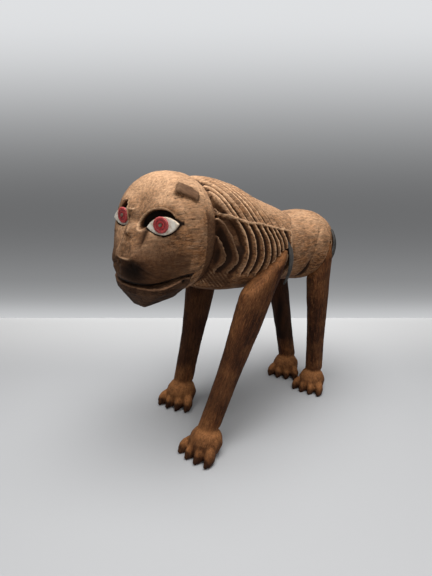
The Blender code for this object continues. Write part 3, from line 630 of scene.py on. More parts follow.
def keep_wear_and_painted_light(mesh, edges, stain_and_shade, grain, far=18, groove=0.0, crest=0.0, dust_and_top_light_share=1.0):
    """Note at each point how proud or hollow the carving is, for wear and painted highlights on proud edges
    and crests and for painted shade in hollows and grooves, its dust and painted top light, its stain and
    painted shade, and its place in the grain.
    """
    points, normals = points_of(mesh), normals_of(mesh)
    near, wide = (np.einsum("ij,ij->i", points - evened(edges, points, times, SKIN_EVENING), normals)
                  for times in (RELIEF_NEAR, far))
    upward = evened(edges, normals, UPWARD_TIMES, SKIN_EVENING)[:, 2]
    notes = {"proud": near + CREST_HIGHLIGHT * crest,
             "hollow": np.maximum(np.clip(-wide, 0, None), GROOVE_SHADE * groove),
             "dust_and_top_light": eased(upward, *UPWARD) * dust_and_top_light_share,
             "stain_and_shade": np.clip(stain_and_shade, 0, 1)}
    for name, values in notes.items():
        note = mesh.attributes.new(name, "FLOAT", "POINT")
        note.data.foreach_set("value", np.ascontiguousarray(values, dtype=np.float32).ravel())
    note = mesh.attributes.new("grain", "FLOAT_VECTOR", "POINT")
    note.data.foreach_set("vector", np.ascontiguousarray(grain * MM, dtype=np.float32).ravel())


# Stains and painted shade on the face: how dark, and where, as a middle and a width or as a stretch that
# eases. The nose's left edge is how far to the left it lies at each height.

NOSE_EDGE = ((-15.5, 6.0), (-13.4, 7.9), (-6.8, 11.7), (3.5, 12.1), (12.8, 9.9))
NOSE_EDGE_EASE = (-1.0, 1.5)
NOSE_RIGHT = (12.5, 14.5)
NOSE_FOOT = (-17.5, -14.5)
MUZZLE = {"dark": 0.86, "lean": 0.30, "forward": (14, 38), "droop": 0.10, "up": (-8, 8)}
NOSE_BLACK = {"dark": 0.14, "left": (9, 13), "up": (-27, 12)}
SOCKET = {"dark": 0.94, "left": (12.2, 4.4), "up": ((-8, -1), (17, 21))}
CHEEK = {"dark": 0.76, "left": (26, 13), "up": (-3, 10)}
FACET = {"dark": 0.60, "up": (-5, -2)}
BRIDGE = {"dark": 0.12, "up": ((-5, -2), (8, 18))}
CORNER_BLACK = {"dark": 1.1, "beside": (38.5, 3.2), "forward": (17.5, 5.0), "up": (-32.5, 3.4)}
FACE_FROM = 14
MOUTH_RISE = 10
MOUTH_RISES = (12, 40)
UPPER_LIP = -38
GAP_EASE = (0.2, 1.2)
GAP_FROM = 6


def lip_line(forward, middle):
    """How high a lip lies: it rises from the middle of the mouth to the corners."""
    return middle + MOUTH_RISE * (1 - eased(forward, *MOUTH_RISES))


def face_stain_and_shade(left, forward, up):
    """Darker wood with painted shade on the muzzle and beside the nose, painted shade in the sockets, darker
    cheeks with painted shade under the eyes, and painted shade blackest below the nose, in the mouth's
    corners and in the mouth gap.
    """
    heights, edge = np.array(NOSE_EDGE).T
    beside = eased(left - np.interp(up, heights, edge), *NOSE_EDGE_EASE)
    beside = np.maximum(beside, eased(-left, *NOSE_RIGHT))
    below = 1 - eased(up, *NOSE_FOOT)
    muzzle = eased(forward + MUZZLE["lean"] * left, *MUZZLE["forward"])
    muzzle *= 1 - eased(up + MUZZLE["droop"] * np.abs(left), *MUZZLE["up"])
    # The muzzle is darker wood with painted shade; below the nose the painted shade turns black.
    shade = MUZZLE["dark"] * muzzle * np.maximum(beside, below)
    shade += NOSE_BLACK["dark"] * hill(left, *NOSE_BLACK["left"]) * hill(up, *NOSE_BLACK["up"]) * below
    # Painted shade in the socket between nose and eye; the cheek under the eye is darker wood with painted
    # shade.
    socket = SOCKET["dark"] * hill(left, *SOCKET["left"]) * within(up, *SOCKET["up"])
    cheek = CHEEK["dark"] * hill(left, *CHEEK["left"]) * hill(up, *CHEEK["up"])
    facet = FACET["dark"] * (1 - beside) * (1 - below) * (1 - eased(up, *FACET["up"]))
    facet += BRIDGE["dark"] * (1 - beside) * within(up, *BRIDGE["up"])
    stain_and_shade = np.stack((shade, socket, cheek, facet)).max(axis=0) * (forward > FACE_FROM)
    # Painted shade, black, in the mouth's corners and along the mouth gap.
    form = CORNER_BLACK
    corner = form["dark"] * hill(np.abs(left), *form["beside"]) * hill(forward, *form["forward"])
    gap = (1 - eased(up - lip_line(forward, UPPER_LIP), *GAP_EASE)) * (forward > GAP_FROM)
    return np.maximum(np.maximum(stain_and_shade, corner * hill(up, *form["up"])), gap)


EAR_DARK = 0.42
# Painted shade along the lower edges of each ear's slab.
EAR_RIM_SHADE = 0.46
EAR_RIMS = ((5.6, 7.0), (9.4, 10.6))
EAR_RIM_TOP = 2.0
EAR_STAIN = 0.4
WHITE_RING = ((-2.6, -1.2), (1, 3))
RING_ACROSS = 18
RING_OUT = (-12, 1.8)
BROW_DARK_OUT = (-14, 1.5)
LEAF_DARK = 0.84
LEAF_DARK_FLANK = (-54, -48)
LEAF_DARK_ANGLES = ((-62, -50), (14, 20))
LEAF_DARK_FROM = -78
HEAD_CORE = 40
# Painted shadow on the trunk round each plate.
PLATE_SHADOWS = ({"dark": 0.95, "y": (14.5, 4.2), "z": (190, 24), "beside": 46},
               {"dark": 0.75, "y": (114, 3.6), "z": (196, 18), "beside": 34})
# Painted shade under the belly.
BELLY_SHADE = 0.35
BELLY_ANGLES = (30, 62)
HEAD_REACH = 66


def body_stain_and_shade(points, flank, angle, in_mane):
    """Darker wood and painted shade on the face; painted shade under the brows, along the ears' lower edges,
    round the plates and under the belly; a dark seam round each eye white; darker ears and a darker first
    broad lock.
    """
    local = on_axes(points, HEAD_FRAME)
    far = np.linalg.norm(local, axis=1)
    stain_and_shade = face_stain_and_shade(*local.T)
    for side in (1, -1):
        across, along, out = ear_places(local, side).T
        rim = np.maximum(eased(np.abs(across), *EAR_RIMS[0]), eased(np.abs(along), *EAR_RIMS[1]))
        # Ears darker, with painted shade along their lower edges.
        dark = EAR_DARK + EAR_RIM_SHADE * rim * (out < EAR_RIM_TOP)
        stain_and_shade = np.maximum(stain_and_shade, dark * on_ear(local, EAR_STAIN))
    for side in (1, -1):
        seen = eye_places(points, side)
        across, out, up = seen.T
        above, below = almond(across)
        ring = eased(up - below, *WHITE_RING[0]) * (1 - eased(up - above, *WHITE_RING[1]))
        ring *= (np.abs(across) < RING_ACROSS) * (out > RING_OUT[0]) * (out < RING_OUT[1])
        # Painted shade in the hollow under each brow's arch.
        dark = brow_inside(seen, side) * (out > BROW_DARK_OUT[0]) * (out < BROW_DARK_OUT[1])
        stain_and_shade = np.maximum(stain_and_shade, np.maximum(dark, ring))
    leaf = LEAF_DARK * (1 - eased(flank, *LEAF_DARK_FLANK)) * within(angle, *LEAF_DARK_ANGLES)
    stain_and_shade = np.maximum(stain_and_shade, leaf * in_mane * (far > HEAD_CORE) * (points[:, 1] > LEAF_DARK_FROM))
    x, y, z = (points - MIDDLE).T
    # Painted shadow round the plates.
    for form in PLATE_SHADOWS:
        plate = form["dark"] * hill(y, *form["y"]) * hill(z, *form["z"]) * (np.abs(x) > form["beside"])
        stain_and_shade = np.maximum(stain_and_shade, plate)
    return np.maximum(stain_and_shade, BELLY_SHADE * eased(-angle, *BELLY_ANGLES) * (far > HEAD_REACH))


# The grain runs along the trunk, but along each ear on the ears

EAR_SKIN = 0.6
EAR_GRAIN = (9, 12)
# The trunk gets less dust and painted top light than the head.
TRUNK_DUST_AND_TOP_LIGHT = 0.64
points = points_of(mesh)
local = on_axes(points, HEAD_FRAME)
x, y, z = (points - MIDDLE).T
angle = trunk_measures(x, y, z, MANE_STATIONS)[0]
flank, in_mane = flank_place(y, angle)
grain = grain_along(points, (0, 1, 0))
for side in (1, -1):
    across, along, out = ear_places(local, side).T
    here = (on_ear(local, EAR_SKIN) > 0) & (np.abs(across) < EAR_GRAIN[0]) & (np.abs(along) < EAR_GRAIN[1])
    grain[here] = np.stack((across, out, along), axis=1)[here]
dust_and_top_light_share = np.where(np.linalg.norm(local, axis=1) > HEAD_REACH, TRUNK_DUST_AND_TOP_LIGHT, 1.0)
stain_and_shade = body_stain_and_shade(points, flank, angle, in_mane)
keep_wear_and_painted_light(mesh, edges, stain_and_shade, grain, groove=groove, crest=crest, dust_and_top_light_share=dust_and_top_light_share)
mesh.shade_smooth()


# The look of old carved wood, shared by the body, the jaw and the legs: grain along one axis, pores, dust
# with painted top light, worn edges with painted highlights, and painted shade in the hollows


class Shading:
    """Nodes of one tree, added and joined by short calls."""

    def __init__(self, tree):
        self.tree = tree

    def node(self, kind, **settings):
        made = self.tree.nodes.new("ShaderNode" + kind)
        for key, value in settings.items():
            setattr(made, key, value)
        return made

    def feed(self, socket, value):
        if isinstance(value, bpy.types.NodeSocket):
            self.tree.links.new(value, socket)
        else:
            socket.default_value = value

    def sum(self, operation, a, b=0.0, clamp=False):
        made = self.node("Math", operation=operation, use_clamp=clamp)
        self.feed(made.inputs[0], a)
        self.feed(made.inputs[1], b)
        return made.outputs[0]

    def ramp(self, value, low, high, bottom=0.0, top=1.0):
        made = self.node("MapRange", interpolation_type="SMOOTHSTEP")
        for socket, number in zip(made.inputs[:5], (value, low, high, bottom, top)):
            self.feed(socket, number)
        return made.outputs[0]

    def mix(self, share, a, b, blend="MIX"):
        made = self.node("Mix", data_type="RGBA", blend_type=blend)
        self.feed(made.inputs[0], share)
        self.feed(made.inputs[6], a)
        self.feed(made.inputs[7], b)
        return made.outputs[2]

    def noise(self, vector, scale, detail=3.0, roughness=0.55, distortion=0.0):
        made = self.node("TexNoise")
        self.feed(made.inputs["Vector"], vector)
        made.inputs["Scale"].default_value = scale
        made.inputs["Detail"].default_value = detail
        made.inputs["Roughness"].default_value = roughness
        made.inputs["Distortion"].default_value = distortion
        return made.outputs["Fac"]

    def stretched(self, vector, scale):
        made = self.node("Mapping")
        self.feed(made.inputs["Vector"], vector)
        made.inputs["Scale"].default_value = scale
        return made.outputs[0]

    def note(self, name):
        return self.node("Attribute", attribute_name=name).outputs["Fac"]


def new_group(name, inputs, outputs):
    """A node group with these named sockets; gives back its tree, its inputs and its output node."""
    tree = bpy.data.node_groups.new(name, "ShaderNodeTree")
    for way, sockets in (("INPUT", inputs), ("OUTPUT", outputs)):
        for word, kind in sockets.items():
            tree.interface.new_socket(word, in_out=way, socket_type="NodeSocket" + kind)
    return tree, tree.nodes.new("NodeGroupInput").outputs, tree.nodes.new("NodeGroupOutput").inputs


# How long each figure in the wood is drawn out along the grain, and how many of it lie in a metre

GRAIN = (0.10, 420)
FIBRE = (0.045, 1500)
PORES = (0.14, 1100)
MOTTLE = (0.40, 480)
CLOUDS = 38
SPECKS = 1000
NICKS = 1400
NICK_STRETCH = (1.0, 0.12, 0.07)


def weathered_wood():
    """Colour, roughness and height of old wood; the grain runs along the vector's Z."""
    tree, given, made = new_group(
        "Weathered wood",
        {"Vector": "Vector", "Wood": "Color", "Dark": "Color", "Pale": "Color", "Dust and top light": "Float"},
        {"Colour": "Color", "Roughness": "Float", "Height": "Float"})
    s = Shading(tree)
    vector, dark, pale = given["Vector"], given["Dark"], given["Pale"]

    def along(figure, *settings):
        """Noise drawn out along the grain."""
        return s.noise(s.stretched(vector, (1.0, 1.0, figure[0])), figure[1], *settings)

    def part(amount, share):
        return s.sum("MULTIPLY", amount, share)

    grain = along(GRAIN, 5.0, 0.62, 0.4)
    fibre = along(FIBRE, 2.0, 0.6)
    pores = s.ramp(along(PORES, 1.0), 0.62, 0.72)
    clouds = s.noise(vector, CLOUDS, 4.0, 0.6)
    mottle = s.ramp(along(MOTTLE, 4.0, 0.7), 0.34, 0.66, 0.74, 1.24)
    specks = s.ramp(s.noise(vector, SPECKS, 3.0, 0.7), 0.54, 0.68)
    nicks = s.ramp(s.noise(s.stretched(vector, NICK_STRETCH), NICKS, 1.0), 0.58, 0.70)

    wood = s.mix(s.ramp(grain, 0.34, 0.68), dark, given["Wood"])
    wood = s.mix(part(s.ramp(clouds, 0.42, 0.66), 0.26), wood, pale)
    wood = s.mix(part(s.ramp(clouds, 0.50, 0.30), 0.34), wood, dark)
    wood = s.mix(s.ramp(fibre, 0.35, 0.65, 0.0, 0.30), wood, dark)
    # Dust and painted top light pale the upward-facing wood.
    dust_and_top_light = part(part(s.note("dust_and_top_light"), given["Dust and top light"]), s.ramp(clouds, 0.25, 0.60, 0.55, 1.0))
    wood = s.mix(dust_and_top_light, wood, pale)
    wood = s.mix(part(specks, 0.26), wood, pale)
    wood = s.mix(part(nicks, 0.30), wood, pale)
    wood = s.mix(part(pores, 0.70), wood, dark)

    # Proud edges are paler: wear, with a painted highlight along the mane's crests and the jaw's lip.
    wear_and_highlight = part(s.ramp(s.note("proud"), 0.06, 0.40), s.ramp(grain, 0.25, 0.55, 0.45, 0.85))
    wood = s.mix(wear_and_highlight, wood, pale)
    wood = s.mix(1.0, wood, mottle, "MULTIPLY")

    # Painted shade darkens hollows and nooks, stain and painted shade darken the wood further, and the
    # deepest grooves and darkest stain and shade go near black.
    low, stain_and_shade = s.note("hollow"), s.note("stain_and_shade")
    nook_shade = s.ramp(s.note("proud"), -0.04, -0.30, 0.0, 0.75)
    wood = s.mix(s.sum("MAXIMUM", s.ramp(low, 0.25, 1.5, 0.0, 0.95), nook_shade), wood, dark)
    wood = s.mix(part(stain_and_shade, 0.90), wood, dark)
    deep = part(s.ramp(stain_and_shade, 0.85, 1.0, 1.0, 0.12), s.ramp(low, 1.1, 2.0, 1.0, 0.35))
    s.feed(made["Colour"], s.mix(1.0, wood, deep, "MULTIPLY"))

    s.feed(made["Roughness"], s.sum("ADD", part(grain, -0.20), 0.88))
    height = s.sum("ADD", part(grain, 0.7), part(fibre, 0.35))
    s.feed(made["Height"], s.sum("SUBTRACT", height, part(pores, 0.5)))
    return tree


WEATHERED = weathered_wood()


def new_material(name):
    """A material with its own nodes; gives back the material, its short calls and its shader's sockets."""
    made = bpy.data.materials.new(name)
    made.use_nodes = True
    return made, Shading(made.node_tree), made.node_tree.nodes["Principled BSDF"].inputs


def bumped(s, surface, height, strength, distance):
    """Let a height roughen a surface, over this distance in millimetres."""
    rough = s.node("Bump")
    rough.inputs["Strength"].default_value = strength
    rough.inputs["Distance"].default_value = distance * MM
    s.feed(rough.inputs["Height"], height)
    s.feed(surface["Normal"], rough.outputs["Normal"])


WOOD_BUMP = 0.9
WOOD_RELIEF = 0.5
WOOD_GLOSS = 0.12


def wood_material(name, wood, dark, pale, dust_and_top_light_amount):
    """One wood with its own colours."""
    made, s, surface = new_material(name)
    look = s.node("Group", node_tree=WEATHERED)
    s.feed(look.inputs["Vector"], s.node("Attribute", attribute_name="grain").outputs["Vector"])
    for socket, value in (("Wood", wood), ("Dark", dark), ("Pale", pale)):
        look.inputs[socket].default_value = (*value, 1.0)
    look.inputs["Dust and top light"].default_value = dust_and_top_light_amount
    s.feed(surface["Base Color"], look.outputs["Colour"])
    s.feed(surface["Roughness"], look.outputs["Roughness"])
    surface["Specular IOR Level"].default_value = WOOD_GLOSS
    bumped(s, surface, look.outputs["Height"], WOOD_BUMP, WOOD_RELIEF)
    return made


brown_wood = wood_material("brown wood", wood=(0.270, 0.115, 0.042), dark=(0.046, 0.018, 0.007),
                           pale=(0.54, 0.33, 0.190), dust_and_top_light_amount=0.60)
mesh.materials.append(brown_wood)


# Lower jaw
# A separate wedge of the same wood, coloured almost black-brown and cut in broad flats down to a keel under
# the chin. It sits below the mouth gap, with painted shade inside the mouth and in its corners, and a painted
# highlight along its lip's edge.

JAW_FACE = 0.75
JAW_EVENING = 0.4
JAW_TIMES = 2
JAW_CORNER = {"deep": 3.0, "beside": (40, 4), "forward": (13.5, 4.5), "up": (-35.5, 3.2)}
JAW_FLATS = 0.30
JAW_FLAT_SIZE = (6.0, 9.0, 5.0)
JAW_STROKES = 0.22
JAW_STROKE_SIZE = (2.2, 10.0, 2.2)
JAW_LIFT = 0.5
JAW_DARKENING = 0.25
# Painted shade, black, in the mouth's corners.
JAW_CORNER_BLACK = 1.1
LOWER_LIP = -43.2
# A painted highlight along the lower lip's edge.
LIP_HIGHLIGHT = 6.0
LIP_EDGE = 0.9
LIP_FROM = 8
# Painted shade, black, inside the mouth above the lower lip.
INSIDE_BLACK = 1.05
INSIDE_ABOVE = (0.9, 1.7)
INSIDE_FROM = 4

jaw = fine_copy("lower_jaw", "lion_jaw", JAW_FACE)
mesh = jaw.data
edges = edges_of(mesh)
points = evened(edges, points_of(mesh), JAW_TIMES, JAW_EVENING)
left, forward, up = on_axes(points, HEAD_FRAME).T
corner = hill(np.abs(left), *JAW_CORNER["beside"]) * hill(forward, *JAW_CORNER["forward"])
corner = corner * hill(up, *JAW_CORNER["up"])
left = left - np.sign(left) * JAW_CORNER["deep"] * corner
points = off_axes(np.stack((left, forward, up), axis=1), HEAD_FRAME)
put_points(mesh, points)
lift = JAW_FLATS * knife_flats(points, JAW_FLAT_SIZE) + JAW_STROKES * uneven(points, JAW_STROKE_SIZE)
put_points(mesh, points + normals_of(mesh) * np.clip(lift, -JAW_LIFT, JAW_LIFT)[:, None])
line = lip_line(forward, LOWER_LIP)
lip_highlight = LIP_HIGHLIGHT * hill(up, line, LIP_EDGE) * (forward > LIP_FROM)
inside = INSIDE_BLACK * eased(up - line, *INSIDE_ABOVE) * (forward > INSIDE_FROM)
stain_and_shade = np.maximum(np.maximum(JAW_DARKENING, inside), JAW_CORNER_BLACK * corner)
keep_wear_and_painted_light(mesh, edges, stain_and_shade, grain_along(points, (0, 1, 0)), far=24, crest=lip_highlight)
mesh.shade_smooth()
dark_wood = wood_material("dark wood", wood=(0.054, 0.022, 0.008), dark=(0.011, 0.004, 0.002),
                          pale=(0.25, 0.13, 0.07), dust_and_top_light_amount=0.12)
mesh.materials.append(dark_wood)


# Legs
# Four tapered rods of red-brown wood, each carved in one with a domed paw, four toes and dark claws. Their
# tops are thinned to a tongue that sits in the body; the grain runs down the leg.

LEG_FACE = 0.92
leg_wood = wood_material("leg wood", wood=(0.084, 0.025, 0.007), dark=(0.017, 0.005, 0.002),
                         pale=(0.31, 0.130, 0.046), dust_and_top_light_amount=0.46)

# Each leg's way up its grain, its paw's place and turn, how dark its rod is with painted shade (most on the
# right legs, in the body's shade) and how much dust and painted top light its paw holds

LEGS = {
    "front_left_leg": {"grain": (7, 76, 170), "paw": (46, -87), "turn": 8, "dark": 0.12, "dust_and_top_light": 0.5},
    "front_right_leg": {"grain": (2.5, 38, 170), "paw": (-55.5, -47), "turn": 22, "dark": 0.5, "dust_and_top_light": 1.3},
    "rear_left_leg": {"grain": (9, -17, 168), "paw": (30, 110.5), "turn": 14, "dark": 0.04, "dust_and_top_light": 0.8},
    "rear_right_leg": {"grain": (-15, -24.5, 168), "paw": (-24, 118), "turn": 26, "dark": 0.62, "dust_and_top_light": 1.0}}
TOES = (-1.5, -0.5, 0.5, 1.5)
TOE_PITCH = 12.0
TOE_HALF = 5
CLAW_REACH = 26.0
CLAW_SHORTER = 2.2
CLAW_EASE = 2.0
CLAW_HEIGHT = (8, 11)
ROD_FROM = (36, 54)
ROD_EVENING = 0.55
ROD_TIMES = 60
ROD_SWELL = 0.45
PAW_EVENING = 0.5
PAW_TIMES = 7
SOLE_EASE = (0.2, 1.2)
ROD_STROKES = 0.24
ROD_STROKE_SIZE = (2.4, 2.4, 26.0)
ROD_FLATS = 0.34
ROD_FLAT_SIZE = (7.0, 7.0, 22.0)
PAW_ROUGH = 0.20
PAW_ROUGH_SIZE = (2.2, 2.2, 2.2)
SOLE_KEEP = (0.5, 2.5)
FOOT_DARK = 0.45
FOOT_HEIGHT = (2, 9)
CLAW_DARK = 0.85
LEG_SHADE = 0.30
SHADE_SPAN = ((34, 60), (100, 165))
ANKLE = (38, 58)
BLOTCHES = 0.12
BLOTCH_SIZE = (10.0, 10.0, 40.0)


def claw_tips(points, leg):
    """1 on the four claws of a paw, beyond the ends of its toes."""
    turn = math.radians(leg["turn"])
    ahead = np.array((math.sin(turn), -math.cos(turn)))
    flat = points[:, :2] - MIDDLE[:2] - np.array(leg["paw"])
    reach = flat @ ahead
    across = flat @ np.array((-ahead[1], ahead[0]))
    share = np.zeros(len(points))
    for k in TOES:
        end = CLAW_REACH - CLAW_SHORTER * abs(k)
        claw = eased(reach, end, end + CLAW_EASE) * (np.abs(across - TOE_PITCH * k) < TOE_HALF)
        share = np.maximum(share, claw)
    return share * (1 - eased(points[:, 2], *CLAW_HEIGHT))


def finish_leg(node, leg):
    """Round a leg's facets, keep its toes crisp and cut long strokes down it."""
    piece = fine_copy(node, "lion_" + node, LEG_FACE)
    mesh = piece.data
    edges = edges_of(mesh)
    points = points_of(mesh)
    height = points[:, 2]
    rod = eased(height, *ROD_FROM)
    shaft = evened(edges, points, ROD_TIMES, ROD_EVENING * rod)
    shaft = shaft + normals_of(mesh) * (ROD_SWELL * rod)[:, None]
    put_points(mesh, evened(edges, shaft, PAW_TIMES, PAW_EVENING * (1 - rod) * eased(height, *SOLE_EASE)))
    points, normals = points_of(mesh), normals_of(mesh)
    strokes = ROD_STROKES * uneven(points, ROD_STROKE_SIZE) + ROD_FLATS * knife_flats(points, ROD_FLAT_SIZE)
    rough = PAW_ROUGH * uneven(points, PAW_ROUGH_SIZE)
    lift = (rod * strokes + (1 - rod) * rough) * eased(points[:, 2], *SOLE_KEEP)
    points = points + normals * lift[:, None]
    points[:, 2] = np.maximum(points[:, 2], 0.0)
    put_points(mesh, points)

    height = points[:, 2]
    above = eased(height, *ANKLE)
    stain_and_shade = np.maximum(FOOT_DARK * (1 - eased(height, *FOOT_HEIGHT)), CLAW_DARK * claw_tips(points, leg))
    # Painted shade on each rod, by leg and along the middle of the shaft; the paws get extra dust and painted
    # top light.
    stain_and_shade = stain_and_shade + above * leg["dark"] + LEG_SHADE * within(height, *SHADE_SPAN)
    stain_and_shade = stain_and_shade + BLOTCHES * uneven(points, BLOTCH_SIZE, 1)
    dust_and_top_light_share = 1 + leg["dust_and_top_light"] * (1 - above)
    keep_wear_and_painted_light(mesh, edges, stain_and_shade, grain_along(points, leg["grain"]), far=20, dust_and_top_light_share=dust_and_top_light_share)
    mesh.shade_smooth()
    mesh.materials.append(leg_wood)


for node, leg in LEGS.items():
    finish_leg(node, leg)


# Plates
# Four thin crescents of dull dark grey metal stand upright behind the leg tops, let into the wood. Their
# edges are rubbed a little brighter.

PLATE_FACE = 0.55
PLATE_TIMES = 5
PLATE_EVENING = 0.5
PLATE_DENTS = 0.12
DENT_SIZE = (3.0, 3.0, 6.0)
METAL_CLOUDS = 120
METAL_LINES = 1600
LINE_STRETCH = (1.0, 1.0, 0.06)


def grey_metal():
    """Dull oxidised metal with scratches along it, brown in places and brighter where it is rubbed."""
    made, s, surface = new_material("dull grey metal")
    place = s.node("TexCoord").outputs["Object"]
    clouds = s.noise(place, METAL_CLOUDS, 4.0, 0.6)
    lines = s.noise(s.stretched(place, LINE_STRETCH), METAL_LINES, 2.0)
    metal = s.mix(s.ramp(clouds, 0.35, 0.65), (0.014, 0.013, 0.012, 1), (0.052, 0.047, 0.042, 1))
    metal = s.mix(s.ramp(s.note("proud"), 0.04, 0.25, 0.0, 0.6), metal, (0.26, 0.25, 0.24, 1))
    metal = s.mix(s.ramp(clouds, 0.60, 0.72, 0.0, 0.5), metal, (0.115, 0.070, 0.042, 1))
    s.feed(surface["Base Color"], metal)
    s.feed(surface["Roughness"], s.ramp(lines, 0.3, 0.7, 0.62, 0.80))
    surface["Metallic"].default_value = 0.15
    bumped(s, surface, lines, 0.35, 0.2)
    return made


plate_metal = grey_metal()
for corner in ("front_left", "front_right", "rear_left", "rear_right"):
    plate = fine_copy(corner + "_plate", "lion_" + corner + "_plate", PLATE_FACE)
    mesh = plate.data
    edges = edges_of(mesh)
    put_points(mesh, evened(edges, points_of(mesh), PLATE_TIMES, PLATE_EVENING))
    points = points_of(mesh)
    put_points(mesh, points + normals_of(mesh) * (PLATE_DENTS * uneven(points, DENT_SIZE))[:, None])
    keep_wear_and_painted_light(mesh, edges, np.zeros(len(points)), points, far=8)
    mesh.shade_smooth()
    mesh.materials.append(plate_metal)


# Eyes
# Each eye is an almond of white bone or shell let into the head, with a red disc on it whose rim is cut in
# fine notches, and a small dark pin driven through both.

EYE_EVENING = 0.5
WHITE_FACE = 0.42
WHITE_TIMES = 6
WHITE_EDGE_DARKENING = (0.0, 1.5)
DISC_FACE = 0.30
DISC_TIMES = 4
DISC_FRONT = (-0.2, 0.6)
NOTCHES = 30
NOTCH_FROM = (4.6, 5.4)
NOTCH_TO = (7.2, 7.5)
NOTCH_DEPTH = 0.22
NOTCH_SHADE = 0.8
RING_AT = (4.3, 0.45)
RING_DEPTH = 0.45
RING_SHADE = 0.9
DISH_AT = (0.0, 2.6)
DISH_DEPTH = 0.40
DISH_SHADE = 0.7
DISH_REACH = 3


def white_material():
    """Off-white, yellowed in patches and darker at its edges against the wood."""
    made, s, surface = new_material("eye white")
    clouds = s.noise(s.node("TexCoord").outputs["Object"], 260, 3.0)
    white = s.mix(s.ramp(clouds, 0.35, 0.70), (0.76, 0.72, 0.64, 1), (0.56, 0.47, 0.36, 1))
    white = s.mix(s.ramp(s.note("rim"), 0.35, 1.0, 0.0, 0.75), white, (0.34, 0.22, 0.13, 1))
    s.feed(surface["Base Color"], white)
    s.feed(surface["Roughness"], s.ramp(clouds, 0.3, 0.7, 0.24, 0.42))
    bumped(s, surface, clouds, 0.15, 0.1)
    return made


def red_material():
    """Brick red, with painted shade in the cuts, the ring and the dish, and paler on the raised notches."""
    made, s, surface = new_material("eye red")
    clouds = s.noise(s.node("TexCoord").outputs["Object"], 700, 4.0, 0.65)
    red = s.mix(s.ramp(clouds, 0.30, 0.70), (0.20, 0.010, 0.012, 1), (0.48, 0.036, 0.036, 1))
    red = s.mix(s.ramp(s.note("rim"), 0.2, 0.9, 0.0, 0.45), red, (0.66, 0.17, 0.13, 1))
    red = s.mix(s.ramp(s.note("rim"), -0.2, -0.9, 0.0, 0.85), red, (0.075, 0.006, 0.010, 1))
    s.feed(surface["Base Color"], red)
    s.feed(surface["Roughness"], s.ramp(clouds, 0.3, 0.7, 0.38, 0.60))
    bumped(s, surface, clouds, 0.4, 0.15)
    return made


def pin_material():
    """Tarnished metal, paler in random patches."""
    made, s, surface = new_material("pin metal")
    clouds = s.noise(s.node("TexCoord").outputs["Object"], 900, 3.0)
    s.feed(surface["Base Color"], s.mix(clouds, (0.10, 0.075, 0.06, 1), (0.42, 0.34, 0.26, 1)))
    s.feed(surface["Roughness"], s.ramp(clouds, 0.3, 0.7, 0.35, 0.6))
    surface["Metallic"].default_value = 0.6
    return made


def note_rim(mesh, values):
    """Keep a value between -1 and 1 at each point for the material."""
    note = mesh.attributes.new("rim", "FLOAT", "POINT")
    note.data.foreach_set("value", np.ascontiguousarray(values, dtype=np.float32).ravel())


eye_white, eye_red, pin_metal = white_material(), red_material(), pin_material()
for side, word in ((1, "left"), (-1, "right")):
    white = fine_copy(word + "_eye_white", "lion_" + word + "_eye_white", WHITE_FACE)
    mesh = white.data
    edges = edges_of(mesh)
    put_points(mesh, evened(edges, points_of(mesh), WHITE_TIMES, EYE_EVENING))
    across, _, up = eye_places(points_of(mesh), side).T
    above, below = almond(across)
    note_rim(mesh, 1 - eased(np.minimum(above - up, up - below), *WHITE_EDGE_DARKENING))
    mesh.shade_smooth()
    mesh.materials.append(eye_white)

    disc = fine_copy(word + "_eye_disc", "lion_" + word + "_eye_disc", DISC_FACE)
    mesh = disc.data
    edges = edges_of(mesh)
    put_points(mesh, evened(edges, points_of(mesh), DISC_TIMES, EYE_EVENING))
    seen = eye_places(points_of(mesh), side)
    middle = 0.5 * (seen.min(axis=0) + seen.max(axis=0))
    across, out, up = (seen - middle).T
    radius, turn = np.hypot(across, up), np.arctan2(up, across)
    front = eased(out, *DISC_FRONT)
    notches = np.cos(NOTCHES * turn) * eased(radius, *NOTCH_FROM)
    ring, dish = hill(radius, *RING_AT), hill(radius, *DISH_AT)
    seen[:, 1] -= front * (NOTCH_DEPTH * notches + RING_DEPTH * ring + DISH_DEPTH * dish)
    put_points(mesh, off_axes(seen * np.array((side, 1.0, 1.0)), eye_frame(side)))
    cuts = NOTCH_SHADE * notches * (1 - eased(radius, *NOTCH_TO)) * front
    note_rim(mesh, -cuts - RING_SHADE * ring - DISH_SHADE * dish * (radius < DISH_REACH))
    mesh.shade_smooth()
    mesh.materials.append(eye_red)

    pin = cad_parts[word + "_eye_pin"]
    pin.data.materials.clear()
    pin.data.materials.append(pin_metal)


# Studio
# A flat pale floor, painted lighter towards the wall's foot as a painted glow of light, with a graded wall
# behind it, lit softly from above and a little from the front. The camera stands where the photograph was
# taken from.

VIEW_FROM = (0.34444, -0.31624, 0.2801)
VIEW_TURN = (75, 0, 50)
VIEW_LENS = 26.0
VIEW_NEAR = 0.01

view = bpy.data.cameras.new("View")
camera = bpy.data.objects.new("View", view)
bpy.context.collection.objects.link(camera)
camera.location = VIEW_FROM
camera.rotation_euler = [math.radians(a) for a in VIEW_TURN]
view.lens = VIEW_LENS
view.clip_start = VIEW_NEAR
bpy.context.scene.camera = camera
bpy.context.scene.view_settings.view_transform = "Standard"

FLOOR_SIZE = 6.0
WALL_AHEAD = 0.808
GLOW_REACH = 0.26
AIR = (0.64, 0.63, 0.61, 1)
AIR_STRENGTH = 0.22
ahead = Vector((-math.sin(math.radians(VIEW_TURN[2])), math.cos(math.radians(VIEW_TURN[2])), 0))
foot = Vector((VIEW_FROM[0], VIEW_FROM[1], 0)) + ahead * WALL_AHEAD

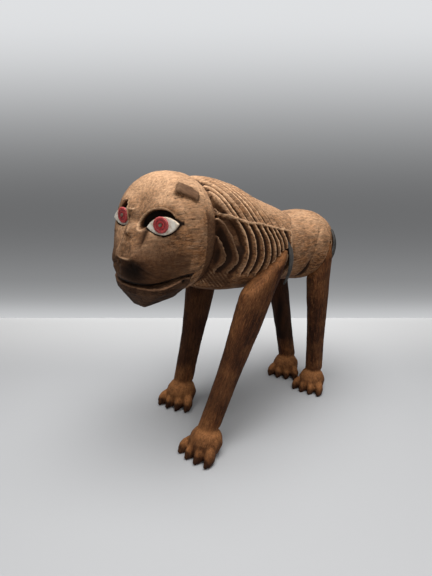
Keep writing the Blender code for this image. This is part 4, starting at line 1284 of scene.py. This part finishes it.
bpy.ops.object.select_all(action="DESELECT")
bpy.ops.mesh.primitive_plane_add(size=FLOOR_SIZE, location=(0, 0, 0))
floor = bpy.context.object
floor.name = "floor"
paper, s, surface = new_material("pale paper")
reach = s.node("VectorMath", operation="DOT_PRODUCT")
s.feed(reach.inputs[0], s.node("TexCoord").outputs["Object"])
reach.inputs[1].default_value = ahead
# Painted glow: the floor's colour grows lighter towards the wall's foot.
near = s.ramp(reach.outputs["Value"], foot.dot(ahead) - GLOW_REACH, foot.dot(ahead))
s.feed(surface["Base Color"], s.mix(near, (0.385, 0.388, 0.395, 1), (0.62, 0.62, 0.62, 1)))
surface["Roughness"].default_value = 0.7
floor.data.materials.append(paper)

# The wall stands square to the view. It glows at its foot, darkens upwards and pales again, and can be looked
# through from behind. Each grey has its height on the wall.

WALL_SIZE = (4.0, 1.2)
WALL_TINT = (0.985, 1.0, 1.02)
WALL_GREYS = ((0.0, 0.645), (0.038, 0.332), (0.080, 0.254), (0.16, 0.156), (0.237, 0.144), (0.31, 0.216),
              (0.38, 0.362), (0.446, 0.552), (0.509, 0.723), (0.56, 0.753))

bpy.ops.mesh.primitive_plane_add(size=1.0, location=(0, 0, 0))
wall = bpy.context.object
wall.name = "wall"
along = Vector((ahead.y, -ahead.x, 0))
for point in wall.data.vertices:
    across, height = point.co.x * WALL_SIZE[0], (point.co.y + 0.5) * WALL_SIZE[1]
    point.co = foot + along * across + Vector((0, 0, height))
wall.data.update()

glow, s, surface = new_material("graded paper")
surface["Base Color"].default_value = (0, 0, 0, 1)
surface["Roughness"].default_value = 1.0
surface["Specular IOR Level"].default_value = 0.0
place = s.node("SeparateXYZ")
s.feed(place.inputs[0], s.node("TexCoord").outputs["Object"])
shades = s.node("ValToRGB")
shades.color_ramp.interpolation = "B_SPLINE"
stops = shades.color_ramp.elements
top = WALL_GREYS[-1][0]
for k, (height, grey) in enumerate(WALL_GREYS):
    stop = stops[k] if k < 2 else stops.new(height / top)
    stop.position = height / top
    stop.color = (*(grey * tint for tint in WALL_TINT), 1)
s.feed(shades.inputs[0], s.sum("DIVIDE", place.outputs[2], top))
s.feed(surface["Emission Color"], shades.outputs[0])
surface["Emission Strength"].default_value = 1.0
either = s.node("MixShader")
s.feed(either.inputs[0], s.node("NewGeometry").outputs["Backfacing"])
s.feed(either.inputs[1], glow.node_tree.nodes["Principled BSDF"].outputs[0])
s.feed(either.inputs[2], s.node("BsdfTransparent").outputs[0])
s.feed(glow.node_tree.nodes["Material Output"].inputs["Surface"], either.outputs[0])
wall.data.materials.append(glow)

world = bpy.data.worlds.new("Studio air")
bpy.context.scene.world = world
world.use_nodes = True
air = world.node_tree.nodes["Background"].inputs
air["Color"].default_value = AIR
air["Strength"].default_value = AIR_STRENGTH


def soft_light(name, place, target, size, power):
    """A square light of this size that shines from a place towards a target."""
    lamp = bpy.data.lights.new(name, "AREA")
    lamp.size = size
    lamp.energy = power
    thing = bpy.data.objects.new(name, lamp)
    bpy.context.collection.objects.link(thing)
    thing.location = place
    thing.rotation_euler = (Vector(place) - Vector(target)).to_track_quat("Z", "Y").to_euler()


soft_light("Top light", place=(0.10, -0.10, 1.0), target=(0, 0, 0.15), size=0.7, power=14.5)
soft_light("Side light", place=(1.1, -0.55, 0.75), target=(0, 0, 0.18), size=0.7, power=4.2)
